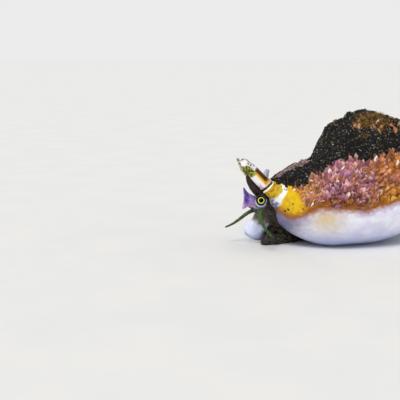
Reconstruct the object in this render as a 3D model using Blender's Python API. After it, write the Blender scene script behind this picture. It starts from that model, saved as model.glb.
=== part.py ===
"""A live spider conch at rest on its shell, as a still, life-size model.

The shell is a dextral spiral about an axis along X: the head end points to -X, the spire to +X, the
animal's right side, with the fingers of the outer lip, to +Y, and up is +Z. All sizes are in
millimetres of the real animal until mesh_object() turns them into metres. The floor is Z = 0.
"""

import math

import bpy
from mathutils import Vector

MM = 0.001
GAP = 0.3

# The coiled part of the shell: its axis, its ends and how it grows
AXIS_Z = 30.0
APEX_X = 90.0
FRONT_X = -34.0
SPIRE_SPLIT_X = 55.0
SPIRE_HEIGHT = 40.0
SPIRE_SLOPE = 0.50
WHORL_GROWTH = 1.55
WHORL_RELIEF = 0.13
SHOULDER_RAMP = 17.0
APEX_TIP_X = 89.2
BELLY_SQUARENESS = 2.3

# Angles about the axis where a side of the coil turns coarser, with the number of steps up to each
COIL_SIDES = ((-110, 14), (40, 30), (150, 14))

# Radii of the last whorl about its axis, as (x, radius), on each of its four sides
TOP_RADII = (
    (-34, 3.4), (-30, 5.2), (-23, 8.8), (-15, 12.6), (-8, 13.8), (-4, 15.8), (1, 22.2), (5, 29.6), (10, 32.6),
    (20, 33.8), (34, 35.2), (44, 34.0), (55, 28.0),
)
LEFT_RADII = (
    (-34, 3.4), (-31, 8.0), (-26, 14.0), (-18, 20.5), (-8, 26.5), (4, 30.0), (18, 31.5), (32, 30.5), (44, 28.0),
    (55, 23.0),
)
BELLY_RADII = (
    (-34, 3.6), (-31, 9.2), (-27.5, 15.6), (-22.5, 20.6), (-14, 25.8), (-4, 29.6), (6, 30.4), (20, 30.4), (31, 29.0),
    (40, 26.4), (55, 20.0),
)
RIGHT_RADII = (
    (-34, 3.4), (-28, 7.5), (-20, 12.5), (-8, 17.5), (1, 21.0), (8, 28.0), (20, 33.0), (34, 32.5), (46, 29.0),
    (55, 25.0),
)

# Knobs on the last whorl, as (x, angle from the top in degrees, height, radius)
KNOBS = (
    (6.5, 16.0, 2.4, 4.5),
    (22.0, 9.0, 5.0, 8.5),
    (38.0, 26.0, 4.0, 7.5),
    (30.0, -22.0, 3.4, 6.5),
    (15.0, -40.0, 3.2, 6.0),
    (31.0, -62.0, 3.0, 7.0),
    (12.0, 52.0, 2.6, 5.5),
)

# The crust on the top and left of the shell: rows of lumps that run up and back. Their height, their spacing
# across and along the rows, the slope of the rows, and the zone where they grow, with its fade
CRUST_HEIGHT = 1.5
CRUST_SPACING = (7.4, 11.0)
CRUST_SLOPE_DEG = 53.0
CRUST_ZONE_X = (-22.0, 82.0)
CRUST_ZONE_DEG = (-98.0, 30.0)
CRUST_FADE = (5.0, 12.0)
CRUST_GIRTH_RADIUS = 32.0
CRUST_ON_SPIRE = 0.7

# The flared outer lip: its margin from the notch at the front to where it meets the spire, with how
# high it rises above its rim, and the places on the spiral where its two ends grow from
MARGIN = (
    (-20, 12, 22, 3),
    (-29.5, 20.5, 3.4, 12),
    (-25.5, 38, 2.4, 11),
    (-8, 50, 2.2, 6),
    (11, 55, 2.4, 5),
    (30, 55, 3.4, 5),
    (48, 48, 9.0, 5),
    (64, 35, 18, 5),
    (64, 16.5, 30, 3),
)
LIP_ROOT_X = (-20, 53)
LIP_SHOULDER_DEG = 55.0
LIP_THICKNESS = 3.4
RIM_THICKNESS = 5.6
LIP_BACKING = 3.0
FINGER_SWELL = 3.0

# Each finger: its place along the margin from 0 to 1, how near the rim it turns away from the lip, the
# point it bends at, its tip, and its half width where it leaves the lip
FINGERS = (
    ("finger_1", 0.262, 0.8, (-12.5, 57, 12.5), (-17, 36.5, 35), 4.0),
    ("finger_2", 0.350, 1.0, (-10, 66, 1.5), (-5, 70, 21), 5.6),
    ("finger_3", 0.485, 1.0, (9, 72, 1.0), (16, 84, 25), 6.0),
    ("finger_4", 0.620, 1.0, (34, 72, 1.5), (46, 86, 26), 6.2),
    ("finger_5", 0.760, 1.0, (62, 62, 7.0), (79, 74, 29), 6.4),
    ("finger_6", 0.900, 1.0, (88, 39, 15), (114, 22, 39), 6.4),
)
FINGER_ROOT = 0.66
FINGER_TIP_RADIUS = 1.2
FINGER_FLATNESS = 0.78

# The siphonal canal, a gutter open below: its path with the outer radius at each point
CANAL_PATH = (
    (-19, 0, 28.5, 5.6),
    (-26, -1.4, 27.8, 5.4),
    (-31.6, -2.6, 29.5, 4.8),
    (-37.2, -3.0, 34.0, 4.0),
    (-43.2, -3.2, 39.9, 3.75),
    (-46.6, -3.3, 43.6, 3.3),
    (-49.0, -3.5, 47.3, 2.1),
)
CANAL_WALL = 1.5
CANAL_MOUTH_DEG = 74.0
CANAL_END_SLANT = 0.9

# Soft parts
MANTLE_PATH = (
    (-32, 4.5, 20.0, 7.6, 5.0),
    (-26, 6.5, 18.0, 8.0, 6.6),
    (-18, 11.0, 13.5, 7.2, 7.6),
    (-8, 19.0, 9.5, 6.6, 7.2),
    (4, 25.5, 8.4, 6.5, 7.0),
    (18, 28.5, 8.6, 6.5, 7.2),
    (32, 26.5, 10.0, 6.2, 7.0),
    (42, 21.5, 12.4, 5.4, 6.0),
    (50, 15.5, 16.5, 3.8, 4.6),
)
SNOUT_PATH = (
    (-27.0, 5.4, 20.5, 4.2),
    (-32.0, 4.0, 21.9, 3.8),
    (-36.5, 2.6, 23.4, 3.1),
    (-40.2, 2.4, 24.6, 2.8),
    (-42.6, 2.9, 25.3, 3.7),
    (-43.8, 3.3, 25.6, 5.4),
)
SIPHON_PATH = (
    (-33.6, -2.2, 24.8, 1.1, 1.6),
    (-36.0, -2.8, 27.2, 1.1, 2.3),
    (-39.0, -3.0, 30.2, 1.1, 2.9),
    (-41.8, -3.1, 33.2, 1.1, 2.7),
    (-44.0, -3.2, 35.9, 1.0, 2.0),
    (-45.4, -3.3, 38.0, 0.7, 1.1),
)
SNOUT_FORK = 0.9
MOUTH_RADIUS = 1.8
MOUTH_DEPTH = 2.2
LEFT_STALK_PATH = (
    (-28.0, 0.4, 19.2, 2.7),
    (-33.5, -2.6, 20.2, 2.6),
    (-37.5, -4.0, 22.3, 2.6),
    (-39.2, -5.3, 24.2, 2.65),
    (-39.73, -6.88, 25.5, 2.8),
)
RIGHT_STALK_PATH = (
    (-25.0, 10.4, 17.4, 2.7),
    (-29.5, 12.0, 18.2, 2.6),
    (-33.0, 12.8, 19.8, 2.6),
    (-35.2, 13.2, 21.2, 2.65),
    (-36.3, 14.2, 22.1, 2.8),
)
EYE_RADIUS = 2.5
EYE_REST = 1.5
LEFT_TENTACLE_PATH = (
    (-39.2, -6.4, 22.2, 1.15),
    (-40.8, -8.6, 19.4, 0.95),
    (-40.5, -10.0, 15.9, 0.75),
    (-38.7, -11.0, 12.2, 0.6),
    (-35.6, -12.0, 8.3, 0.35),
)
RIGHT_TENTACLE_PATH = (
    (-34.0, 12.6, 18.2, 1.0),
    (-38.2, 13.2, 16.6, 0.85),
    (-42.2, 14.4, 13.4, 0.7),
    (-45.4, 16.0, 10.8, 0.5),
    (-48.6, 18.0, 8.9, 0.35),
)
FOOT_FRONT_PATH = (
    (-31.5, 8.6, 0.9, 1.6, 1.0),
    (-29.0, 9.0, 1.5, 3.4, 1.9),
    (-25.5, 9.6, 2.6, 4.6, 3.4),
    (-21.0, 10.8, 4.0, 5.4, 5.0),
    (-15.0, 13.4, 3.2, 6.2, 4.4),
    (-8.0, 16.8, 1.8, 5.8, 2.8),
    (-3.0, 19.6, 1.0, 4.0, 1.6),
)
FOOT_REAR_PATH = (
    (38.0, 21.0, 6.6, 3.6, 3.6),
    (45.0, 20.4, 5.4, 5.0, 4.6),
    (53.0, 18.6, 3.8, 5.4, 4.2),
    (60.0, 16.8, 2.6, 4.4, 3.0),
    (65.0, 15.6, 1.5, 2.6, 1.7),
)
OPERCULUM_PATH = (
    (52.0, 18.4, 8.6, 4.6, 0.9),
    (61.0, 17.2, 7.8, 4.4, 1.0),
    (71.0, 15.2, 5.8, 3.4, 0.9),
    (80.0, 12.4, 3.2, 1.8, 0.8),
    (85.0, 10.4, 1.6, 0.7, 0.6),
)

SHELL_COLOURS = {"shell": (0.62, 0.45, 0.40), "lip": (0.86, 0.80, 0.80), "canal": (0.86, 0.76, 0.48)}
FLESH_COLOURS = {"body": (0.13, 0.13, 0.07), "snout": (0.42, 0.30, 0.58), "feeler": (0.24, 0.33, 0.10)}
EYE_COLOUR = (0.03, 0.03, 0.03)
OPERCULUM_COLOUR = (0.16, 0.08, 0.03)


def eased(points, x):
    """A smooth curve through (x, value) points, flat where two neighbours turn back."""
    if x <= points[0][0]:
        return points[0][1]
    if x >= points[-1][0]:
        return points[-1][1]
    slopes = [(b[1] - a[1]) / (b[0] - a[0]) for a, b in zip(points, points[1:])]
    i = max(k for k in range(len(points) - 1) if points[k][0] <= x)

    def tangent(k):
        if k == 0:
            return slopes[0]
        if k == len(points) - 1:
            return slopes[-1]
        return 0.0 if slopes[k - 1] * slopes[k] <= 0 else (slopes[k - 1] + slopes[k]) / 2

    (x0, y0), (x1, y1) = points[i], points[i + 1]
    span = x1 - x0
    t = (x - x0) / span
    return (
        y0 * (1 + 2 * t) * (1 - t) ** 2
        + y1 * t * t * (3 - 2 * t)
        + span * (tangent(i) * t * (1 - t) ** 2 + tangent(i + 1) * t * t * (t - 1))
    )


def along(rows, t):
    """The row of numbers at t, from 0 to 1, on a smooth curve through evenly spaced rows."""
    steps = [k / (len(rows) - 1) for k in range(len(rows))]
    return [eased(list(zip(steps, column)), t) for column in zip(*rows)]


def suture_x(angle):
    """Where the last whorl meets the spire, at an angle in degrees from the top, clockwise from behind."""
    return APEX_X - SPIRE_HEIGHT * WHORL_GROWTH ** (angle / 360)


def spire_radius(x, angle):
    """Radius of the whorls of the spire, with a crease at each turn of the suture."""
    height = max(APEX_X - x, 0.4)
    turns = math.log(height / SPIRE_HEIGHT) / math.log(WHORL_GROWTH) - angle / 360
    part = turns - math.floor(turns)
    swell = math.sin(math.pi * part**1.25) - 0.45
    nodules = 0.35 * max(0.0, math.cos(math.radians(angle * 9 + 20))) * math.exp(-(((part - 0.55) / 0.2) ** 2))
    whorls = height * SPIRE_SLOPE * (1 + WHORL_RELIEF * (swell + nodules))
    return whorls + CRUST_ON_SPIRE * crust_height(x, angle)


def whorl_envelope(x, angle):
    """Radius of the last whorl without its knobs and shoulder: an oval of unlike quarters."""
    a = math.radians(angle)
    up, side = math.cos(a), math.sin(a)
    tall = eased(TOP_RADII if up >= 0 else BELLY_RADII, x)
    wide = eased(RIGHT_RADII if side >= 0 else LEFT_RADII, x)
    power = 2.0
    if up < 0:
        power += (BELLY_SQUARENESS - 2.0) * (1.0 if side >= 0 else 0.35) * min(1.0, -4 * up * abs(side))
    return (abs(up / tall) ** power + abs(side / wide) ** power) ** (-1 / power)


def knob_height(x, angle, radius):
    height = 0.0
    for knob_x, knob_angle, rise, spread in KNOBS:
        around = math.radians((angle - knob_angle + 180) % 360 - 180) * radius
        height += rise * math.exp(-((x - knob_x) ** 2 + around**2) / spread**2)
    return height


def crust_height(x, angle):
    """Height of the crust's lumps, in rows that wander a little, above or below the shell.

    They fade out towards the edges of their zone and where the spire is parted from the last whorl.
    """
    girth = math.radians(angle) * CRUST_GIRTH_RADIUS
    slope = math.radians(CRUST_SLOPE_DEG)
    lengthwise = x * math.cos(slope) + girth * math.sin(slope)
    across = x * math.sin(slope) - girth * math.cos(slope) + 1.3 * math.sin(lengthwise / 7.0)
    lengthwise += 2.0 * math.sin(across / 9.0)
    lumps = math.cos(2 * math.pi * across / CRUST_SPACING[0]) * math.cos(2 * math.pi * lengthwise / CRUST_SPACING[1])
    fade = min(1.0, abs(x - SPIRE_SPLIT_X) / CRUST_FADE[0])
    for value, (low, high), width in ((x, CRUST_ZONE_X, CRUST_FADE[0]), (angle, CRUST_ZONE_DEG, CRUST_FADE[1])):
        fade *= min(1.0, max(0.0, min(value - low, high - value) / width))
    return CRUST_HEIGHT * lumps * fade


def shell_radius(x, angle):
    """Radius of the coiled shell. The angle runs from -210 to 150 degrees, from the inner to the outer lip."""
    start = suture_x(angle)
    if x >= start:
        return spire_radius(x, angle)
    at_suture = spire_radius(start + 0.01, angle)
    ramp = 1 - (1 - min(1.0, (start - x) / SHOULDER_RAMP)) ** 1.7
    body = whorl_envelope(x, angle)
    return at_suture + (body - at_suture + knob_height(x, angle, body) + crust_height(x, angle)) * ramp


def shell_point(x, angle, grow=0.0):
    """A point of the coiled shell, or one that stands off its surface by grow."""
    radius = shell_radius(x, angle)
    if grow:
        lengthwise = (shell_radius(x + 0.5, angle) - shell_radius(x - 0.5, angle)) / 1.0
        around = (shell_radius(x, angle + 1) - shell_radius(x, angle - 1)) / (math.radians(2) * radius)
        radius += grow * min(2.5, math.sqrt(1 + lengthwise**2 + around**2))
    a = math.radians(angle)
    return (x, radius * math.sin(a), AXIS_Z + radius * math.cos(a))


def mesh_object(name, points, faces, colour=None):
    """An object made of points in millimetres, in the scene's own collection or, without a colour, a helper."""
    mesh = bpy.data.meshes.new(name)
    mesh.from_pydata([Vector(p) * MM for p in points], [], faces)
    mesh.validate()
    obj = bpy.data.objects.new(name, mesh)
    home = "spider_conch" if colour else "cutters"
    bpy.data.collections[home].objects.link(obj)
    if colour:
        paint(obj, colour)
        mesh.shade_smooth()
    else:
        obj.hide_render = True
        obj.display_type = "WIRE"
    return obj


def paint(obj, colour, roughness=0.5):
    material = bpy.data.materials.new(obj.name)
    material.use_nodes = True
    shader = material.node_tree.nodes["Principled BSDF"]
    shader.inputs["Base Color"].default_value = (*colour, 1)
    shader.inputs["Roughness"].default_value = roughness
    obj.data.materials.clear()
    obj.data.materials.append(material)


def loft(name, rings, colour=None):
    """A closed skin over rings of equally many points, its two ends closed by rungs across the ring."""
    count = len(rings[0])
    points = [p for ring in rings for p in ring]
    faces = []
    for i in range(len(rings) - 1):
        for j in range(count):
            k = (j + 1) % count
            faces.append((i * count + j, i * count + k, (i + 1) * count + k, (i + 1) * count + j))
    last = (len(rings) - 1) * count
    for j in range((count - 1) // 2):
        rung = sorted({j, j + 1, count - 2 - j, count - 1 - j})
        faces.append(tuple(rung[::-1]))
        faces.append(tuple(last + k for k in rung))
    obj = mesh_object(name, points, faces, colour)
    face_outwards(obj)
    return obj


def face_outwards(obj):
    volume = 0.0
    obj.data.calc_loop_triangles()
    for triangle in obj.data.loop_triangles:
        a, b, c = (obj.data.vertices[v].co for v in triangle.vertices)
        volume += a.dot(b.cross(c))
    if volume < 0:
        obj.data.flip_normals()


def combine(obj, operation, others, solver="MANIFOLD"):
    """Unites obj with the others or cuts it by them, keeps its largest closed surface, and removes the others."""
    group = bpy.data.collections.new("operands")
    bpy.context.scene.collection.children.link(group)
    for other in others:
        group.objects.link(other)
    modifier = obj.modifiers.new(operation.lower(), "BOOLEAN")
    modifier.operation = operation
    modifier.operand_type = "COLLECTION"
    modifier.collection = group
    modifier.solver = solver
    graph = bpy.context.evaluated_depsgraph_get()
    mesh = bpy.data.meshes.new_from_object(obj.evaluated_get(graph))
    obj.modifiers.clear()
    obj.data = mesh
    for other in others:
        bpy.data.objects.remove(other)
    bpy.data.collections.remove(group)
    keep_largest(obj)


def keep_largest(obj):
    """Drops every loose scrap that a cut leaves beside the main body."""
    mesh = obj.data
    parent = list(range(len(mesh.vertices)))

    def root(v):
        while parent[v] != v:
            parent[v] = parent[parent[v]]
            v = parent[v]
        return v

    for edge in mesh.edges:
        a, b = (root(v) for v in edge.vertices)
        parent[a] = b
    sizes = {}
    for polygon in mesh.polygons:
        island = root(polygon.vertices[0])
        sizes[island] = sizes.get(island, 0.0) + polygon.area
    largest = max(sizes, key=sizes.get)
    kept = [v for v in range(len(mesh.vertices)) if root(v) == largest]
    if len(kept) == len(mesh.vertices):
        return
    new_index = {v: i for i, v in enumerate(kept)}
    faces = [[new_index[v] for v in p.vertices] for p in mesh.polygons if root(p.vertices[0]) == largest]
    points = [mesh.vertices[v].co.copy() for v in kept]
    clean = bpy.data.meshes.new(obj.name)
    clean.from_pydata(points, [], faces)
    for material in mesh.materials:
        clean.materials.append(material)
    clean.shade_smooth()
    obj.data = clean


def floor_cutter():
    """Everything below the floor, so that whatever dips under it ends in a small flat."""
    size = 200.0
    corners = [(x, y, z) for x in (-size, size) for y in (-size, size) for z in (-size, 0.0)]
    faces = [(0, 1, 3, 2), (4, 6, 7, 5), (0, 4, 5, 1), (2, 3, 7, 6), (0, 2, 6, 4), (1, 5, 7, 3)]
    obj = mesh_object("floor_cutter", corners, faces)
    face_outwards(obj)
    return obj


def coil(name, stations, colour=None, grow=0.0):
    """The coiled shell between its first and last station along the axis."""
    angles, start = [], -210
    for end, steps in COIL_SIDES:
        angles += [start + (end - start) * k / steps for k in range(steps)]
        start = end
    return loft(name, [[shell_point(x, a, grow) for a in angles] for x in stations], colour)


def body_stations():
    return spread(FRONT_X, SPIRE_SPLIT_X - GAP / 2, 36)


def spire_stations():
    return spread(SPIRE_SPLIT_X + GAP / 2, APEX_TIP_X, 19, 0.85)


def spread(first, last, count, bias=1.0):
    """Stations from first to last, closer together near the first where bias is over 1."""
    return [first + (last - first) * (k / (count - 1)) ** bias for k in range(count)]


def coil_space():
    """The body whorl and spire in one piece, standing off by the gap, to cut what meets them."""
    stations = [FRONT_X - GAP, *body_stations()[1:], *spire_stations()]
    return coil("coil_space", stations, grow=GAP)


def frame_of(path, t):
    """Position, direction, left and up vectors and the remaining sizes at t on a path of points with sizes."""
    here = along(path, t)
    before, after = along(path, max(0.0, t - 0.01)), along(path, min(1.0, t + 0.01))
    ahead = (Vector(after[:3]) - Vector(before[:3])).normalized()
    left = Vector((0, 0, 1)).cross(ahead).normalized()
    return Vector(here[:3]), ahead, left, ahead.cross(left), here[3:]


def tube(name, path, sides, rings, colour=None, grow=0.0, round_tip=True, flatness=1.0):
    """A tapered body along a path. Each point gives a half width and, where it isn't round, a half height."""
    turns = [(0.0, lean) for lean in (-65, -35)] + [(k / (rings - 1), 0) for k in range(rings)]
    if round_tip:
        turns += [(1.0, lean) for lean in (35, 65)]
    made = []
    for t, lean in turns:
        centre, ahead, left, up, sizes = frame_of(path, t)
        wide = sizes[0] + grow
        tall = (sizes[1] if len(sizes) > 1 else sizes[0] * flatness) + grow
        a = math.radians(lean)
        centre += ahead * min(wide, tall) * math.sin(a)
        made.append(oval(centre, left * wide * math.cos(a), up * tall * math.cos(a), sides))
    return loft(name, made, colour)


def oval(centre, wide, tall, sides):
    turns = [2 * math.pi * j / sides for j in range(sides)]
    return [centre + wide * math.cos(a) + tall * math.sin(a) for a in turns]


def lip_curve(u, v):
    """The middle surface of the lip: from the top of the coil at v = 0 to the rim at v = 1."""
    *rim, rise = along(MARGIN, u)
    rim = Vector(rim)
    root_x = LIP_ROOT_X[0] + (LIP_ROOT_X[1] - LIP_ROOT_X[0]) * u
    root = Vector((root_x, 0.0, AXIS_Z + 0.55 * eased(TOP_RADII, root_x)))
    shoulder_angle = math.radians(LIP_SHOULDER_DEG)
    radius = shell_radius(root_x, LIP_SHOULDER_DEG) * (0.82 + 0.36 * math.sqrt(math.sin(math.pi * u)))
    shoulder = Vector((root_x, radius * math.sin(shoulder_angle), AXIS_Z + radius * math.cos(shoulder_angle)))
    inside = shoulder.lerp(rim, 0.85)
    foot = Vector((inside.x, inside.y, min(rim.z + rise, inside.z + 4)))
    w = 1 - v
    point = root * w**3 + shoulder * 3 * w * w * v + foot * 3 * w * v * v + rim * v**3
    outward = Vector((rim.x - 14, rim.y - 8, 0)).normalized()
    swell = sum(math.exp(-(((u - finger[1]) / 0.045) ** 2)) for finger in FINGERS)
    return point + outward * FINGER_SWELL * (swell - 0.5) * v**5


def lip_ring(u, grow, steps):
    """A closed section of the lip: out along its back, round the rim and in along its face."""
    start = 0.12
    back, face = [], []
    ends = min(1.0, 0.5 + 4 * min(u, 1 - u))
    for k in range(steps):
        v = start + (1 - start) * k / (steps - 1)
        here = lip_curve(u, v)
        along_v = lip_curve(u, min(1.0, v + 0.02)) - lip_curve(u, v - 0.02)
        along_u = lip_curve(min(1.0, u + 0.02), v) - lip_curve(max(0.0, u - 0.02), v)
        normal = along_u.cross(along_v).normalized()
        thick = (LIP_THICKNESS + (RIM_THICKNESS - LIP_THICKNESS) * v**6) * ends / 2 + grow
        backing = LIP_BACKING * math.sin(math.pi * u) * math.exp(-(((v - 0.75) / 0.15) ** 2))
        back.append(here + normal * thick)
        face.append(here - normal * (thick + backing))
    outward = (lip_curve(u, 1.0) - lip_curve(u, 0.96)).normalized()
    radius = RIM_THICKNESS * ends / 2 + grow
    middle = (back[-1] + face[-1]) / 2
    half = (back[-1] - face[-1]) / 2
    rim = [
        middle + half * math.cos(math.radians(a)) + outward * radius * math.sin(math.radians(a))
        for a in (45, 90, 135)
    ]
    return back + rim + face[::-1]


def lip(name, colour=None, grow=0.0, rings=42, steps=8):
    sections = [lip_ring(k / (rings - 1), grow, steps) for k in range(rings)]
    return loft(name, sections, colour)


def finger_path(place, reach, bend, tip, width):
    """Points with a half width along one finger, from inside the lip to its tip."""
    root = lip_curve(place, FINGER_ROOT)
    leaves = root.lerp(lip_curve(place, 1.0), reach)
    bend, tip = Vector(bend), Vector(tip)
    rows = []
    for k in range(11):
        t = k / 10
        w = 1 - t
        point = root * w**3 + leaves * 3 * w * w * t + bend * 3 * w * t * t + tip * t**3
        swell = 0.3 + 0.7 * math.sin(min(1.0, t / 0.3) * math.pi / 2)
        size = FINGER_TIP_RADIUS + (width * 1.25 * swell - FINGER_TIP_RADIUS) * w**0.8
        rows.append((*point, size))
    return rows


def canal_ring(t, sides=13):
    """A section of the canal: a gutter whose mouth is below and ahead, with its end cut on a slant."""
    centre, ahead, left, up, (radius,) = frame_of(CANAL_PATH, t)
    up = up - ahead * CANAL_END_SLANT * max(0.0, (t - 0.6) / 0.4) ** 2
    half_mouth = CANAL_MOUTH_DEG / 2
    outer, inner = [], []
    for k in range(sides):
        a = math.radians(-90 + half_mouth + (360 - 2 * half_mouth) * k / (sides - 1))
        ray = left * math.cos(a) + up * math.sin(a)
        wall = CANAL_WALL * (0.75 + 0.25 * t)
        outer.append(centre + ray * radius)
        inner.append(centre + ray * (radius - wall))
    return outer + inner[::-1]


def canal(name, colour=None):
    return loft(name, [canal_ring(k / 15) for k in range(16)], colour)


def snout(name, colour=None, grow=0.0):
    """The snout: a curved tube flared at its end round a sunken mouth."""
    sides = 16
    rings = []
    for k in range(15):
        t = k / 14
        centre, ahead, left, up, (radius,) = frame_of(SNOUT_PATH, t)
        flare = max(0.0, (t - 0.7) / 0.3)
        ring = oval(centre, left * (radius + grow) * (1 - 0.25 * flare), up * (radius + grow), sides)
        rings.append(forked(ring, centre, ahead, up, flare))
    centre, ahead, left, up, (radius,) = frame_of(SNOUT_PATH, 1.0)
    for share, forward in ((0.9, 0.45), (0.7, 0.1)):
        ring = oval(centre + ahead * forward, left * radius * share * 0.75, up * radius * share, sides)
        rings.append(forked(ring, centre, ahead, up, share))
    for share, forward in ((1.0, -1.0), (0.75, -MOUTH_DEPTH)):
        wide = MOUTH_RADIUS * share
        rings.append(oval(centre + ahead * forward, left * wide * 0.7, up * wide * 1.3, sides))
    return loft(name, rings, colour)


def forked(ring, centre, ahead, up, amount):
    """A ring of the snout whose top and bottom reach ahead of its sides, the top in a point."""
    bent = []
    for point in ring:
        height = (point - centre).dot(up)
        reach = SNOUT_FORK * amount * (height / 5.4) ** 2
        spike = 0.14 * amount * max(0.0, height / 5.4) ** 4
        bent.append(point + ahead * reach + up * height * spike)
    return bent


def eye(name, stalk_path, colour=None, grow=0.0):
    """An eyeball sunk part of the way into the cup at the end of its stalk."""
    centre, ahead, _, _, _ = frame_of(stalk_path, 1.0)
    centre = centre + ahead * EYE_REST
    bpy.ops.mesh.primitive_uv_sphere_add(
        segments=14, ring_count=9, radius=(EYE_RADIUS + grow) * MM, location=centre * MM
    )
    ball = bpy.context.object
    ball.name = name
    ball.data.transform(ball.matrix_world)
    ball.matrix_world.identity()
    for home in list(ball.users_collection):
        home.objects.unlink(ball)
    bpy.data.collections["spider_conch" if colour else "cutters"].objects.link(ball)
    if colour:
        ball.data.shade_smooth()
        paint(ball, colour, 0.1)
    else:
        ball.hide_render = True
    return ball


def mantle(name, colour=None, grow=0.0):
    return tube(name, MANTLE_PATH, 16, 24, colour, grow)


def stalk_space(path):
    return tube("stalk_space", path, 12, 11, grow=GAP, round_tip=False)


def build_shell():
    """The shell in its named parts, each cut clear of what it grows from."""
    spire = coil("shell_spire", spire_stations(), SHELL_COLOURS["shell"])
    body = coil("shell_body_whorl", body_stations(), SHELL_COLOURS["shell"])
    combine(body, "DIFFERENCE", [mantle("mantle_space", grow=GAP), floor_cutter()])
    wing = lip("shell_outer_lip", SHELL_COLOURS["lip"])
    combine(wing, "DIFFERENCE", [coil_space()])
    combine(wing, "DIFFERENCE", [mantle("mantle_space", grow=GAP), floor_cutter()])
    for name, *course in FINGERS:
        path = finger_path(*course)
        finger = tube(name, path, 10, 14, SHELL_COLOURS["lip"], flatness=FINGER_FLATNESS)
        combine(finger, "DIFFERENCE", [lip("lip_space", grow=GAP), floor_cutter()])
        if name == "finger_6":
            combine(finger, "DIFFERENCE", [coil_space()])
    gutter = canal("shell_siphonal_canal", SHELL_COLOURS["canal"])
    combine(gutter, "DIFFERENCE", [coil_space()])
    combine(gutter, "DIFFERENCE", [mantle("mantle_space", grow=GAP)])
    return [spire, body, wing, gutter]


def build_soft_parts():
    """The flesh that shows: the mantle in the shell's slit, the head, the foot and its claw."""
    mantle("mantle", FLESH_COLOURS["body"])
    fold = tube("siphon", SIPHON_PATH, 10, 14, FLESH_COLOURS["body"])
    combine(fold, "DIFFERENCE", [coil_space()])
    combine(fold, "DIFFERENCE", [mantle("mantle_space", grow=GAP)])
    combine(fold, "DIFFERENCE", [snout("snout_space", grow=GAP), stalk_space(LEFT_STALK_PATH)])
    nose = snout("snout", FLESH_COLOURS["snout"])
    combine(nose, "DIFFERENCE", [mantle("mantle_space", grow=GAP)])
    combine(nose, "DIFFERENCE", [coil_space()])
    combine(nose, "DIFFERENCE", [stalk_space(LEFT_STALK_PATH)])
    sides = (
        ("left", LEFT_STALK_PATH, LEFT_TENTACLE_PATH),
        ("right", RIGHT_STALK_PATH, RIGHT_TENTACLE_PATH),
    )
    for side, stalk_path, tentacle_path in sides:
        stalk = tube(f"eyestalk_{side}", stalk_path, 12, 11, FLESH_COLOURS["body"], round_tip=False)
        cutters = [mantle("mantle_space", grow=GAP), eye("eye_space", stalk_path, grow=GAP)]
        combine(stalk, "DIFFERENCE", cutters)
        combine(stalk, "DIFFERENCE", [coil_space()])
        combine(stalk, "DIFFERENCE", [lip("lip_space", grow=GAP)])
        eye(f"eye_{side}", stalk_path, EYE_COLOUR)
        tentacle = tube(f"tentacle_{side}", tentacle_path, 8, 10, FLESH_COLOURS["feeler"])
        combine(tentacle, "DIFFERENCE", [stalk_space(stalk_path)])
    front = tube("foot_front", FOOT_FRONT_PATH, 16, 14, FLESH_COLOURS["body"])
    rear = tube("foot_rear", FOOT_REAR_PATH, 14, 12, FLESH_COLOURS["body"])
    for foot in (front, rear):
        combine(foot, "DIFFERENCE", [mantle("mantle_space", grow=GAP), floor_cutter()])
        combine(foot, "DIFFERENCE", [coil_space()])
    claw = tube("operculum", OPERCULUM_PATH, 12, 14, OPERCULUM_COLOUR)
    combine(claw, "DIFFERENCE", [tube("foot_space", FOOT_REAR_PATH, 14, 12, grow=GAP)])
    combine(claw, "DIFFERENCE", [coil_space(), mantle("mantle_space", grow=GAP)])


def centre_on_floor():
    """Moves everything so that the origin is under the middle of the whole object, on the floor."""
    objects = list(bpy.data.collections["spider_conch"].objects)
    corners = [v.co for obj in objects for v in obj.data.vertices]
    low = Vector([min(c[k] for c in corners) for k in range(3)])
    high = Vector([max(c[k] for c in corners) for k in range(3)])
    middle = (low + high) / 2
    for obj in objects:
        for vertex in obj.data.vertices:
            vertex.co -= Vector((middle.x, middle.y, low.z))


def main():
    for obj in list(bpy.data.objects):
        bpy.data.objects.remove(obj)
    for name in ("spider_conch", "cutters"):
        collection = bpy.data.collections.new(name)
        bpy.context.scene.collection.children.link(collection)
    build_shell()
    build_soft_parts()
    centre_on_floor()


main()
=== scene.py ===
"""The looks of the live spider conch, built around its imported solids.

Positions are in millimetres of the shell's own frame unless a name says otherwise: the coil's axis runs
along X at y = 0 and z = 30, the head end is at -X, the fingered lip at +Y, and the floor is z = 0.
"""

import math

import bpy
import numpy as np
from mathutils import Matrix, Vector, noise
from mathutils.bvhtree import BVHTree


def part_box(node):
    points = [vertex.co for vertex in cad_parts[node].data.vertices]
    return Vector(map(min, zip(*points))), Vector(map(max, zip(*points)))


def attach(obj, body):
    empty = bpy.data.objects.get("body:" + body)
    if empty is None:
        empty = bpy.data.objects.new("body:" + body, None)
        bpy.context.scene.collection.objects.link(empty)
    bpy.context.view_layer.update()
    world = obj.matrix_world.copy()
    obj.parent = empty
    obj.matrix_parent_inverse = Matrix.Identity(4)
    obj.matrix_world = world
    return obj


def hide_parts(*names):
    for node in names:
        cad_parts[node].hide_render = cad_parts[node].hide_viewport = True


MM = 0.001
AXIS_Z = 30.0

# The camera stands so that the left eye lands on its pixel, where a pixel is half a millimetre wide
LEFT_EYE = (-40.06, -8.0, 26.45)
IMAGE_SIZE = 400
EYE_PIXEL = (261.0, 200.5)
PIXEL = 0.5
CAMERA_AZIMUTH = -20.0
CAMERA_ELEVATION = 9.0
CAMERA_DISTANCE = 450.0

# The room's brightness at the horizon and overhead, the key light, and how many metres the floor reaches
HORIZON, ZENITH = 0.84, 0.55
KEY_STRENGTH = 2.15
KEY_WIDTH_DEG = 22.0
KEY_FROM = (-0.45, -0.55, 0.8)
FLOOR_REACH = 60.0

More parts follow.
